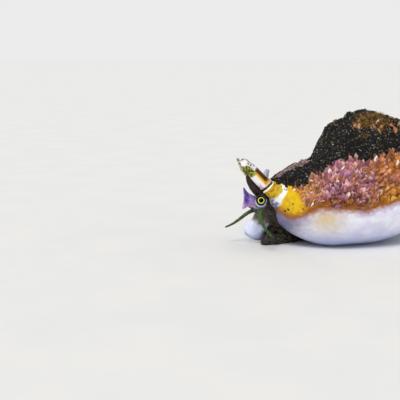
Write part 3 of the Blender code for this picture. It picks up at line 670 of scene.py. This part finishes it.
def horn_colours(f, place, rise, fine, jitter):
    """The canal: white, with a brown patch on its back, an olive one on its side, and specks at its end."""
    up = f.add(rise, jitter)
    horn = f.fade(fine, 0.3, 0.7, (246, 244, 242), (228, 226, 234))
    horn = f.mix(f.times(f.rise(place, 6.0, 2.0), f.rise(up, -0.8, -2.0)), horn, (196, 152, 186))
    back = f.within(place, 1.9, 11.6, 0.6)
    horn = f.mix(f.times(back, f.times(f.rise(up, -1.4, 0.2), 0.75)), horn, (240, 220, 140))
    brown = f.times(back, f.rise(up, -0.4, 0.4))
    bark = f.fade(up, 0.4, 1.5, (214, 166, 36), (82, 42, 2))
    burnt = f.times(f.rise(up, 1.4, 2.4), f.rise(f.noise(1.0, 3, seed=3.4), 0.4, 0.6))
    bark = f.mix(burnt, bark, (44, 20, 3))
    bark = f.fade(place, 4.0, 2.4, bark, (196, 140, 36))
    horn = f.mix(brown, horn, bark)
    slanted = f.add(place, f.times(up, 0.7))
    olive = f.times(f.rise(place, 9.0, 10.2), f.times(f.rise(slanted, 16.2, 15.4), f.rise(up, 1.1, 0.2)))
    olive_patch = f.patches((96, 104, 14), (168, 168, 34), 1.2, 3, 2.2, 0.42, 0.56)
    olive_patch = f.patches(olive_patch, (38, 48, 12), 0.9, 3, 5.2, 0.52, 0.6)
    olive_patch = f.fade(f.cells(1.5, seed=1.0), 0.26, 0.16, olive_patch, (226, 218, 130))
    horn = f.mix(olive, horn, olive_patch)
    horn = f.mix(f.times(f.rise(place, 15.5, 17.5), f.rise(up, 1.0, 2.4)), horn, (132, 132, 34))
    specks = f.rise(f.noise(0.75, 3, seed=12.0), 0.50, 0.56)
    band = f.within(f.add(place, f.times(up, -0.4)), 12.0, 16.6, 0.8)
    horn = f.mix(f.times(specks, f.most(f.rise(place, 18.6, 19.8), band)), horn, (34, 38, 8))
    inside = f.attribute("inside")
    horn = f.mix(f.within(inside, 0.2, 0.6, 0.15), horn, (226, 204, 176))
    # Painted shade: the gutter's inner wall is dark brown back towards the collar, and pale with olive specks
    # towards its end.
    gutter = f.fade(place, 13.0, 16.0, f.mix(fine, (26, 12, 8), (52, 28, 18)),
                    f.mix(specks, (206, 204, 190), (70, 72, 24)))
    return f.fade(inside, 0.5, 0.8, horn, gutter)


def ring_shape(centre, axis, radius, tube, sides=40, turns=8):
    """Points and faces of a ring about an axis."""
    axis = Vector(axis).normalized()
    across = axis.orthogonal().normalized()
    other = axis.cross(across)
    points, faces = [], []
    for i in range(sides):
        a = 2 * math.pi * i / sides
        out = across * math.cos(a) + other * math.sin(a)
        for j in range(turns):
            b = 2 * math.pi * j / turns
            points.append(Vector(centre) + out * (radius + tube * math.cos(b)) + axis * tube * math.sin(b))
            k, m = (i + 1) % sides, (j + 1) % turns
            faces.append((i * turns + j, k * turns + j, k * turns + m, i * turns + m))
    return points, faces


def eye_centre(side):
    low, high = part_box(f"eye_{side}")
    return np.array((low + high) / 2) / MM + ORIGIN


def shape_flesh():
    """The soft parts in one skin, with a rim round each eye, wrinkles and the snout's rings."""
    rims = [ring_shape(eye_centre(side) - 0.25 * np.array(Vector(gaze).normalized()), gaze, EYE_RIM_RADIUS,
                       EYE_RIM_THICKNESS) for side, gaze in GAZES]
    obj, surface, owner = fused("flesh", FLESH_NODES, FLESH_SWELL, FLESH_VOXEL, rims)
    surface.relax(3)
    seam = sum(np.abs(surface.around((owner == k) * 1.0) - (owner == k)) for k in range(len(FLESH_NODES)))

    def part(times, *names):
        return surface.blur(np.isin(owner, [FLESH_NODES.index(n) for n in names]) * 1.0, times)

    fine = part(10, "tentacle_left", "tentacle_right")
    away = np.full(len(surface.points), 99.0)
    brow = np.zeros(len(surface.points))
    for side, gaze in GAZES:
        offset = surface.points - eye_centre(side)
        far = np.linalg.norm(offset, axis=1)
        brow = np.where(far < away, smooth(offset[:, 2], -0.9, 1.2), brow)
        away = np.minimum(away, far)
    rim = smooth(away, EYE_RIM_RADIUS + 0.75, EYE_RIM_RADIUS + 0.35)
    weight = np.clip(surface.blur(np.minimum(seam * 3, 1), 30) * 8, 0, 1) * (1 - rim) * (1 - 0.7 * fine)
    surface.fillet(60, weight)
    surface.relax(2)
    snout, siphon = part(8, "snout"), part(4, "siphon")
    feeler, stalk = part(3, "tentacle_left", "tentacle_right"), part(6, "eyestalk_left", "eyestalk_right")
    body = 1 - np.clip(snout + feeler + stalk + rim + siphon, 0, 1)
    wrinkle = rough_at(surface.points * (1.0, 0.55, 1.6), 2.4, 4.0)
    along = (surface.points - (-30.0, 4.6, 21.0)) @ np.array((-0.92, -0.12, 0.36))
    surface.points[:, 0] -= SNOUT_LEAN * snout * smooth(along, 10.0, 14.0) * (surface.points[:, 2] - 25.0)
    rings = np.sin(along * 2 * math.pi / 0.85 + 1.5 * noise_at(surface.points, 2.0, 8.0))
    foot = part(6, "foot_front", "foot_rear")
    folds = 1 - 2.4 * np.abs(noise_at(surface.points * (0.35, 0.7, 1.0), 1.5, 17.0))
    frill = foot * smooth(surface.points[:, 2], 7.0, 3.0)
    frill *= noise_at(surface.points * (1.0, 1.0, 0.4), 2.6, 41.0)
    height = body * (0.3 * wrinkle + foot * 0.4 * folds + 0.6 * frill) + snout * 0.09 * rings
    height += 0.05 * (1 - rim) * noise_at(surface.points, 0.8, 2.0)
    surface.push(height)
    surface.write()
    store(surface.mesh, {"snout": snout, "feeler": feeler, "stalk": stalk, "rim": rim, "along": along,
                         "siphon": siphon, "away": away, "brow": brow})
    return obj


def flesh_finish():
    f = Finish("flesh_finish", subsurface_weight=0.08, subsurface_scale=0.0006, specular_ior_level=0.38)
    f.put("Subsurface Radius", (1.0, 0.6, 0.35))
    snout, feeler, stalk, rim = f.attributes("snout", "feeler", "stalk", "rim")
    fine, medium, broad = f.noise(0.5, 4), f.noise(1.6, 4, seed=2.0), f.noise(6.0, 3, seed=5.0)
    skin = f.fade(medium, 0.35, 0.65, (20, 15, 9), (46, 39, 19))
    skin = f.patches(skin, (92, 92, 48), 2.6, 5, 6.1, 0.56, 0.7)
    skin = f.fade(broad, 0.5, 0.7, skin, (50, 28, 16))
    skin = f.patches(skin, (150, 144, 108), 0.45, 3, 9.0, 0.66, 0.72)
    # The siphon's near-black brown: its own dark flesh, darkened further with painted shade.
    dark_siphon_shade = f.fade(medium, 0.35, 0.65, (14, 6, 3), (46, 18, 10))
    height = f.coordinate("Z")
    lilac = f.fade(medium, 0.42, 0.62, (140, 116, 192), (178, 150, 212))
    lilac = f.fade(height, 24.5, 21.5, lilac, (196, 152, 200))
    # Deep violet on the snout's far upper lip: its own violet, darkened with painted shade.
    deep_violet_shade = f.times(f.rise(f.attribute("along"), 13.6, 15.4), f.rise(height, 22.5, 25.5))
    violet = f.mix(deep_violet_shade, lilac, (76, 52, 140))
    violet = f.fade(f.cells(0.8), 0.22, 0.14, violet, (232, 208, 218))
    green = f.fade(medium, 0.35, 0.65, (30, 52, 10), (58, 86, 26))
    green = f.patches(green, (98, 120, 72), 0.7, 3, 1.0, 0.58, 0.68)
    blue = f.fade(f.attribute("away"), 4.4, 5.6, (104, 118, 156), skin)
    blue = f.fade(medium, 0.45, 0.7, blue, (40, 40, 30))
    skin = f.mix(stalk, skin, blue)
    skin = f.mix(feeler, skin, green)
    skin = f.mix(snout, skin, violet)
    skin = f.mix(f.attribute("siphon"), skin, dark_siphon_shade)
    lid = f.mix(f.attribute("brow"), (196, 198, 230), (50, 46, 46))
    skin = f.mix(rim, skin, f.mix(f.times(f.rise(fine, 0.45, 0.7), 0.6), lid, (84, 86, 112)))
    f.put("Base Color", skin)
    f.put("Roughness", f.add(0.22, f.times(fine, 0.3)))
    f.put("Normal", f.bump(f.add(f.times(medium, 0.6), f.times(fine, 0.5)), 0.22))
    return f.material


def build_eye(side, gaze):
    """An eyeball with a raised cornea, its rings turned about the way it looks."""
    centre = eye_centre(side)
    axis = Vector(gaze).normalized()
    across = axis.orthogonal().normalized()
    other = axis.cross(across)
    sides, rings = 48, 36
    points, faces, spread, lift = [], [], [], []
    for i in range(rings + 1):
        a = math.pi * i / rings
        cornea = 0.14 * math.exp(-((a / 0.55) ** 2))
        groove = 0.06 * math.exp(-(((a - 1.0) / 0.12) ** 2))
        radius = EYE_RADIUS + cornea - groove
        for j in range(sides if 0 < i < rings else 1):
            b = 2 * math.pi * j / sides
            out = across * math.cos(b) + other * math.sin(b)
            points.append(Vector(centre) + (axis * math.cos(a) + out * math.sin(a)) * radius)
            spread.append(radius * math.sin(a) if a < math.pi / 2 else 2 * EYE_RADIUS - radius * math.sin(a))
            lift.append(points[-1].z - centre[2])
    last = len(points) - 1
    for j in range(sides):
        k = (j + 1) % sides
        faces.append((0, 1 + j, 1 + k))
        faces.append((last, last - sides + k, last - sides + j))
        for i in range(rings - 2):
            here, there = 1 + i * sides, 1 + (i + 1) * sides
            faces.append((here + j, there + j, there + k, here + k))
    obj = add_mesh(f"eye_{side}_ball", [(Vector(p) - Vector(ORIGIN)) * MM for p in points], faces)
    obj.data.shade_smooth()
    store(obj.data, {"spread": spread, "lift": lift})
    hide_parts(f"eye_{side}")
    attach(obj, "root")
    return obj


def eye_finish():
    f = Finish("eye_finish", roughness=0.06, specular_ior_level=0.05)
    spread = f.add(f.attribute("spread"), f.swing(f.noise(0.35, 3), 0.16))
    outer = f.add(spread, f.times(f.attribute("lift"), 0.05))
    ring = f.patches((196, 206, 40), (232, 234, 120), 0.25, 3, 3.0, 0.35, 0.65)
    look = f.fade(spread, 1.2, 1.28, (2, 2, 3), ring)
    look = f.fade(outer, 1.58, 1.68, look, (6, 7, 9))
    f.put("Base Color", look)
    return f.material


def shape_operculum():
    """The horny claw of the foot, saw-toothed along its outer edge, with growth lines."""
    obj, surface, _ = fused("claw", ("operculum",), 0.0, CLAW_VOXEL)
    surface.relax(3)
    points = surface.points
    middle = np.interp(points[:, 0], (52, 61, 71, 80, 85), (18.4, 17.2, 15.2, 12.4, 10.4))
    half = np.interp(points[:, 0], (48, 52, 61, 71, 80, 85, 86), (2, 4.6, 4.4, 3.4, 1.8, 0.7, 0.3))
    edge = smooth((points[:, 1] - middle) / half, 0.35, 0.9)
    teeth = np.mod(points[:, 0] / 3.1, 1.0) ** 1.6
    points[:, 1] += edge * (teeth - 0.6) * smooth(points[:, 0], 50, 54)
    surface.push(0.06 * np.sin(points[:, 0] * 2 * math.pi / 1.3 + 2 * noise_at(points, 4.0)))
    surface.write()
    return obj


def operculum_finish():
    f = Finish("operculum_finish")
    lines = f.noise(1.0, 4, stretch=(0.5, 4.0, 3.0))
    f.put("Base Color", f.fade(lines, 0.35, 0.65, (58, 28, 12), (118, 66, 28)))
    f.put("Roughness", f.add(0.28, f.times(lines, 0.2)))
    f.put("Normal", f.bump(lines, 0.25))
    return f.material


def scatter(surface, weight, count, random):
    """Places spread over a surface in proportion to a weight at each point: positions, normals, and how to
    read any other value there."""
    mesh = surface.mesh
    mesh.calc_loop_triangles()
    corners = np.empty(len(mesh.loop_triangles) * 3, int)
    mesh.loop_triangles.foreach_get("vertices", corners)
    corners = corners.reshape(-1, 3)
    p = surface.points[corners]
    area = np.linalg.norm(np.cross(p[:, 1] - p[:, 0], p[:, 2] - p[:, 0]), axis=1)
    chance = area * weight[corners].mean(1)
    chosen = random.choice(len(corners), count, p=chance / chance.sum())
    share = random.dirichlet((1.0, 1.0, 1.0), count)

    def read(values):
        picked = values[corners[chosen]]
        return (picked * (share if values.ndim == 1 else share[:, :, None])).sum(1)

    normals = unit(read(surface.normals()))
    return read(surface.points), normals, read


def strewn(name, centres, axes, sizes, shape, values, material):
    """One mesh of many small copies of a shape, each with its own values and a patch of the bake map."""
    shape_points, shape_faces = shape
    shape_points = np.array(shape_points)
    scaled = axes * sizes[:, None, :]
    points = centres[:, None, :] + np.einsum("nij,mj->nmi", scaled, shape_points)
    each = len(shape_points)
    starts = np.arange(len(centres)) * each
    faces = [tuple(start + v for v in face) for start in starts.tolist() for face in shape_faces]
    points[:, :, 2] = np.maximum(points[:, :, 2], ORIGIN[2])
    flat = (points.reshape(-1, 3) - ORIGIN) * MM
    obj = add_mesh(name, flat.tolist(), faces, material)
    spread = {key: np.repeat(given, each) for key, given in values.items()}
    store(obj.data, {**spread, "reach": np.tile(shape_points[:, 0], len(centres))})
    x, angle, _ = coil_place(centres)
    root = BAKE_EDGE + (1 - 2 * BAKE_EDGE) * (np.stack([x, angle], 1) - BAKE_FROM) / BAKE_SPAN
    patch = root[:, None, :] + BAKE_PATCH * shape_points[None, :, :2] / np.abs(shape_points).max()
    loops = np.empty(len(obj.data.loops), int)
    obj.data.loops.foreach_get("vertex_index", loops)
    layer = obj.data.uv_layers.new(name="OFBake")
    layer.data.foreach_set("uv", patch.reshape(-1, 2)[loops].ravel())
    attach(obj, "root")
    return obj


def turned(random, count):
    """Random turns, as matrices."""
    w, x, y, z = unit(random.normal(size=(count, 4))).T
    rows = ((1 - 2 * (y * y + z * z), 2 * (x * y - z * w), 2 * (x * z + y * w)),
            (2 * (x * y + z * w), 1 - 2 * (x * x + z * z), 2 * (y * z - x * w)),
            (2 * (x * z - y * w), 2 * (y * z + x * w), 1 - 2 * (x * x + y * y)))
    return np.stack([np.stack(row, 1) for row in rows], 1)


OCTAHEDRON = (((1, 0, 0), (-1, 0, 0), (0, 1, 0), (0, -1, 0), (0, 0, 1), (0, 0, -1)),
              ((0, 2, 4), (2, 1, 4), (1, 3, 4), (3, 0, 4), (2, 0, 5), (1, 2, 5), (3, 1, 5), (0, 3, 5)))


def strew_sand(surface, fields):
    """Black volcanic sand: thousands of glittering grains where the shell is dusted."""
    random = np.random.default_rng(11)
    sand = fields["sand"] + 2.5 * noise_at(surface.points, 1.6, 6.0)
    sand += 2.0 * noise_at(surface.points, 5.0, 2.0)
    weight = smooth(sand, -1.0, 1.0) + 0.03 * fields["crusty"]
    weight *= 1 - 0.93 * fields["bare"]
    centres, normals, read = scatter(surface, weight, GRAINS, random)
    size = GRAIN_SIZE * np.exp(random.normal(0, 0.3, GRAINS))
    centres = centres + normals * (random.uniform(-0.05, 0.35, GRAINS) * smooth(read(sand), -2, 3))[:, None]
    sizes = size[:, None] * random.uniform(0.75, 1.3, (GRAINS, 3))
    obj = strewn("sand_grains", centres, turned(random, GRAINS), sizes, OCTAHEDRON,
                 {"tint": random.uniform(0, 1, GRAINS)}, sand_finish())


def sand_finish():
    f = Finish("sand_finish", roughness=0.35, specular_ior_level=0.22)
    tint = f.attribute("tint")
    look = f.fade(tint, 0.2, 0.6, (8, 8, 9), (22, 20, 19))
    for start, shade in (
        (0.80, (62, 50, 36)), (0.86, (120, 122, 104)), (0.91, (196, 196, 186)), (0.94, (64, 88, 150)),
        (0.96, (150, 142, 60)), (0.975, (58, 96, 60)), (0.985, (136, 64, 44)),
    ):
        look = f.fade(tint, start - 0.002, start, look, shade)
    look = f.mix(f.times(f.noise(0.2, 2), 0.3), look, (20, 20, 22))
    f.put("Base Color", look)
    return f.material


PETAL = (
    ((-0.1, 0, 0), (0.3, 0.5, 0.1), (0.34, 0.1, 1.0), (0.26, -0.55, 0.2), (0.3, 0, -0.6), (0.74, 1.0, 0.5),
     (0.72, -0.1, 1.1), (0.86, -0.9, 0.1), (0.76, 0, -0.3), (1.14, 0.75, 0.6), (0.98, -0.3, 0.2)),
    ((0, 2, 1), (0, 3, 2), (0, 4, 3), (0, 1, 4), (1, 2, 6, 5), (2, 3, 7, 6), (3, 4, 8, 7), (4, 1, 5, 8),
     (5, 6, 9), (6, 7, 10), (6, 10, 9), (7, 8, 10), (8, 5, 9), (8, 9, 10)),
)


def grow_crust(surface, fields):
    """Coralline crust: small angular blades that overlap along the way the crust grows."""
    random = np.random.default_rng(5)
    patchy = 0.5 + 0.5 * rough_at(surface.points, 4.0, 21.0)
    ahead = smooth(fields["front"], -19.0, -12.0)
    weight = fields["crusty"] * (0.3 + smooth(patchy, 0.2, 0.6))
    weight += 0.2 * ahead * smooth(fields["crust"], -3.0, 0.5)
    weight *= (1 - smooth(fields["sand"], -1.8, 0.4)) * (1 - smooth(fields["front"], -9.5, -8.8))
    weight *= (0.35 + 0.65 * smooth(fields["callus"], -1.5, -6.0)) * (1 - fields["bare"])
    weight *= (1 - smooth(fields["callus"], -1.5, -0.5)) * (1 + 1.5 * ahead)
    for *middle, reach in LEDGES:
        weight += 1.5 * nearness(surface.points, middle, reach)
    centres, normals, read = scatter(surface, weight, BLADES, random)
    _, angle, _ = coil_place(centres)
    a = np.radians(angle)
    lean = 1.0 + 1.2 * noise_at(centres, 6.0, 33.0) + random.normal(0.0, 0.32, BLADES)
    lean += np.where(random.uniform(0, 1, BLADES) < 0.1, 1.5, 0.0)
    around = np.stack([np.zeros(BLADES), np.cos(a), -np.sin(a)], 1)
    along = np.cos(lean)[:, None] * np.array((1.0, 0, 0)) + np.sin(lean)[:, None] * around
    along = unit(along - (along * normals).sum(1)[:, None] * normals)
    across = np.cross(normals, along)
    tip = np.radians(random.uniform(0, 15, BLADES))[:, None]
    forward = along * np.cos(tip) + normals * np.sin(tip)
    upward = np.cross(forward, across)
    roll = random.normal(0, 0.35, BLADES)[:, None]
    axes = np.stack([forward, across * np.cos(roll) + upward * np.sin(roll),
                     upward * np.cos(roll) - across * np.sin(roll)], 2)
    big = np.minimum(np.exp(random.normal(0.0, 0.45, BLADES)), 1.9) * (1 - 0.4 * read(ahead))
    big *= 1 - 0.2 * smooth(centres[:, 2], 52.0, 56.0)
    outward = np.maximum(-forward[:, 1] * 2.8 * big, 0.1)
    big *= np.clip((centres[:, 1] - LEFT_SIDE) / outward, 0.3, 1.0)
    wide = random.uniform(0.55, 1.35, BLADES) * (1 - 0.35 * read(ahead))
    sizes = np.stack([big, big * wide, big], 1) * BLADE_SIZE
    obj = strewn("crust_blades", centres - normals * 0.1, axes, sizes, PETAL,
                 {"tint": random.uniform(0, 1, BLADES), "callus": read(fields["callus"]),
                  "front": read(fields["front"]), "sand": read(fields["sand"])}, blade_finish())


def blade_finish():
    f = Finish("blade_finish", subsurface_weight=0.15, subsurface_scale=0.0008, specular_ior_level=0.35)
    tint, medium = f.attribute("tint"), f.noise(2.2, 4, seed=3.1)
    low = f.rise(f.add(f.attribute("callus"), f.swing(medium, 4.0)), -6.0, -1.0)
    front, reach = f.attributes("front", "reach")
    look = crust_colours(f, low, front)
    pinker = f.patches((204, 142, 160), (176, 118, 164), 5.0, 3, 14.0, 0.42, 0.56)
    behind = golden(f)
    pinker = f.mix(f.times(behind, 0.7), pinker, (206, 130, 44))
    look = f.mix(f.times(f.within(tint, 0.30, 0.56, 0.002), 0.6), look, pinker)
    look = f.mix(f.times(f.within(tint, 0.62, 0.72, 0.002), 0.7), look, (196, 122, 34))
    look = f.shade(f.times(low, f.rise(behind, 0.6, 0.1)), 0.62, look)
    look = f.shade(f.rise(f.noise(6.0, 3, seed=19.0), 0.46, 0.6), 0.72, look)
    look = f.shade(f.rise(tint, 0.6, 0.0), 0.42, look)
    # Painted shade at the roots: near where it meets the shell each blade takes the colours of the gaps.
    look = f.fade(f.add(reach, f.swing(medium, 0.8)), 0.6, 0.05, look, gap_colours(f, front))
    # Painted highlights: the tips of blades with a high tint turn pale pink, and pale orange behind and near
    # the front.
    pale = f.times(f.rise(reach, 0.4, 1.05), f.rise(f.add(tint, f.times(low, -0.5)), 0.45, 1.0))
    tip_highlight = f.mix(f.most(behind, f.rise(front, -20.0, -13.0)), (238, 190, 198), (238, 176, 112))
    look = f.mix(f.times(pale, 0.9), look, tip_highlight)
    look = f.shade(f.times(f.rise(f.attribute("sand"), -4.0, -0.5), 0.75), 0.4, look)
    crest = f.times(f.rise(f.coordinate("Z"), 53.0, 57.0), f.rise(f.coordinate("Y"), 4.0, 1.0))
    ledge = f.patches((170, 92, 28), (184, 140, 112), 1.6, 3, 20.0, 0.4, 0.6)
    look = f.mix(f.times(crest, 0.85), look, ledge)
    look = f.mix(f.times(f.rise(tint, 0.975, 0.98), f.rise(reach, 0.2, 0.5)), look, (240, 220, 206))
    amber = f.times(f.times(low, behind), f.within(tint, 0.4, 0.8, 0.002))
    look = f.mix(f.times(amber, f.rise(reach, 0.2, 0.6)), look, (226, 176, 74))
    f.put("Base Color", look)
    f.put("Roughness", f.add(0.36, f.times(medium, 0.3)))
    f.put("Normal", f.bump(f.noise(0.4, 3), 0.12))
    return f.material


STRAND = (
    ((0, 1, 0), (0, -0.5, 0.87), (0, -0.5, -0.87), (0.36, 0.8, 0.9), (0.36, -0.4, 1.6), (0.36, -0.4, 0.2),
     (0.74, 0.5, 0.5), (0.74, -0.25, 0.9), (0.74, -0.25, 0.1), (1.0, 0, -0.9)),
    ((0, 2, 1), (0, 1, 4, 3), (1, 2, 5, 4), (2, 0, 3, 5), (3, 4, 7, 6), (4, 5, 8, 7), (5, 3, 6, 8), (6, 7, 9),
     (7, 8, 9), (8, 6, 9)),
)


def grow_algae(surface, fields):
    """Tufts of short algae on the crest, and odd strands over the rest of the sand."""
    random = np.random.default_rng(23)
    near = sum(nearness(surface.points, middle, reach) for *middle, reach in TUFTS)
    weight = (near**1.5 + 0.012) * smooth(fields["sand"], -3.0, 1.0)
    for *middle, reach in LEDGES:
        weight *= 1 - 0.8 * nearness(surface.points, middle, 0.8 * reach)
    centres, normals, read = scatter(surface, weight, STRANDS, random)
    forward = unit(normals + random.normal(0, 0.75, (STRANDS, 3)))
    across = unit(np.cross(forward, random.normal(0, 1, (STRANDS, 3))))
    axes = np.stack([forward, across, np.cross(forward, across)], 2)
    clump = 0.5 + 0.9 * np.maximum(0, noise_at(centres, 2.2, 40.0))
    long = random.uniform(1.0, 3.0, STRANDS) * (0.5 + 0.6 * np.clip(read(near), 0, 1)) * clump
    long = np.minimum(long, np.maximum(0.5, (TOP - centres[:, 2]) / np.maximum(forward[:, 2], 0.1)))
    thick = random.uniform(0.08, 0.19, STRANDS)
    obj = strewn("algae", centres, axes, np.stack([long, thick, thick], 1), STRAND,
                 {"tint": random.uniform(0, 1, STRANDS)}, algae_finish())


def algae_finish():
    f = Finish("algae_finish", roughness=0.6, specular_ior_level=0.25)
    tint = f.attribute("tint")
    look = f.fade(tint, 0.1, 0.6, (24, 24, 8), (112, 108, 24))
    patch = f.rise(f.noise(2.2, 3, seed=4.0), 0.5, 0.6)
    look = f.mix(f.times(patch, f.rise(tint, 0.3, 0.6)), look, (170, 92, 30))
    pale = f.add(tint, f.times(f.noise(2.0, 3, seed=8.0), 0.7))
    look = f.fade(pale, 1.08, 1.18, look, (222, 164, 118))
    look = f.fade(f.attribute("reach"), 0.6, 0.1, look, (34, 26, 10))
    f.put("Base Color", look)
    return f.material


def build_camera():
    """The photograph's view: the left eye lands on its pixel."""
    azimuth, elevation = math.radians(CAMERA_AZIMUTH), math.radians(CAMERA_ELEVATION)
    back = Vector((math.sin(azimuth) * math.cos(elevation), -math.cos(azimuth) * math.cos(elevation),
                   math.sin(elevation)))
    right = Vector((math.cos(azimuth), math.sin(azimuth), 0))
    up = back.cross(right)
    middle = IMAGE_SIZE / 2
    eye = (Vector(LEFT_EYE) - Vector(ORIGIN)) * MM
    target = eye + (right * (middle - EYE_PIXEL[0]) + up * (EYE_PIXEL[1] - middle)) * PIXEL * MM
    data = bpy.data.cameras.new("camera")
    data.sensor_fit = "HORIZONTAL"
    data.angle = 2 * math.atan(middle * PIXEL / CAMERA_DISTANCE)
    data.clip_start = 0.01
    camera = bpy.data.objects.new("camera", data)
    bpy.context.scene.collection.objects.link(camera)
    turn = Matrix((right, up, back)).transposed().to_4x4()
    camera.matrix_world = Matrix.Translation(target + back * CAMERA_DISTANCE * MM) @ turn
    bpy.context.scene.camera = camera


def build_stage():
    """A pale floor under soft studio light, in a room that is as bright as the floor at the horizon."""
    corners = [(x * FLOOR_REACH, y * FLOOR_REACH, 0) for x, y in ((-1, -1), (1, -1), (1, 1), (-1, 1))]
    floor = add_mesh("floor", corners, [(0, 1, 2, 3)])
    f = Finish("floor_finish", roughness=0.9)
    f.put("Base Color", f.patches((226, 226, 224), (222, 223, 224), 40.0, 3, 0.0, 0.3, 0.7))
    floor.data.materials.append(f.material)
    world = bpy.data.worlds.new("studio")
    world.use_nodes = True
    nodes, links = world.node_tree.nodes, world.node_tree.links
    height = nodes.new("ShaderNodeSeparateXYZ")
    links.new(nodes.new("ShaderNodeTexCoord").outputs["Generated"], height.inputs[0])
    fall = nodes.new("ShaderNodeMapRange")
    fall.interpolation_type = "SMOOTHSTEP"
    for number, given in ((1, 0.0), (2, 0.8), (3, HORIZON), (4, ZENITH)):
        fall.inputs[number].default_value = given
    links.new(height.outputs["Z"], fall.inputs[0])
    nodes["Background"].inputs["Color"].default_value = (1.0, 1.0, 1.0, 1.0)
    links.new(fall.outputs[0], nodes["Background"].inputs["Strength"])
    bpy.context.scene.world = world
    bpy.context.scene.view_settings.view_transform = "Standard"
    sun = bpy.data.lights.new("key", "SUN")
    sun.energy = KEY_STRENGTH
    sun.angle = math.radians(KEY_WIDTH_DEG)
    sun.color = (1.0, 0.98, 0.95)
    lamp = bpy.data.objects.new("key", sun)
    lamp.rotation_euler = Vector(KEY_FROM).to_track_quat("Z", "Y").to_euler()
    bpy.context.scene.collection.objects.link(lamp)


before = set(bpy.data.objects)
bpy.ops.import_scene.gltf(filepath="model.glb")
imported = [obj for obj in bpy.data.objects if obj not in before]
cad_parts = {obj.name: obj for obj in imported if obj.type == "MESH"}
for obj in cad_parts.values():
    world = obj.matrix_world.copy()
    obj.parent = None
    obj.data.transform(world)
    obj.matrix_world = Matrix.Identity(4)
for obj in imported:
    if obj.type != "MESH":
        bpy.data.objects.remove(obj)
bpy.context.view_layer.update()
eye_low, eye_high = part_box("eye_left")
ORIGIN = np.array(LEFT_EYE) - np.array((eye_low + eye_high) / 2) / MM

build_camera()
build_stage()
shell, shell_surface, shell_fields = shape_shell()
shell.data.materials.append(shell_finish())
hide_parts(*SHELL_NODES)
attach(shell, "root")
strew_sand(shell_surface, shell_fields)
grow_crust(shell_surface, shell_fields)
grow_algae(shell_surface, shell_fields)

flesh = shape_flesh()
flesh.data.materials.append(flesh_finish())
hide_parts(*FLESH_NODES)
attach(flesh, "root")
eye_material = eye_finish()
for side, gaze in GAZES:
    build_eye(side, gaze).data.materials.append(eye_material)
claw = shape_operculum()
claw.data.materials.append(operculum_finish())
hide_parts("operculum")
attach(claw, "root")
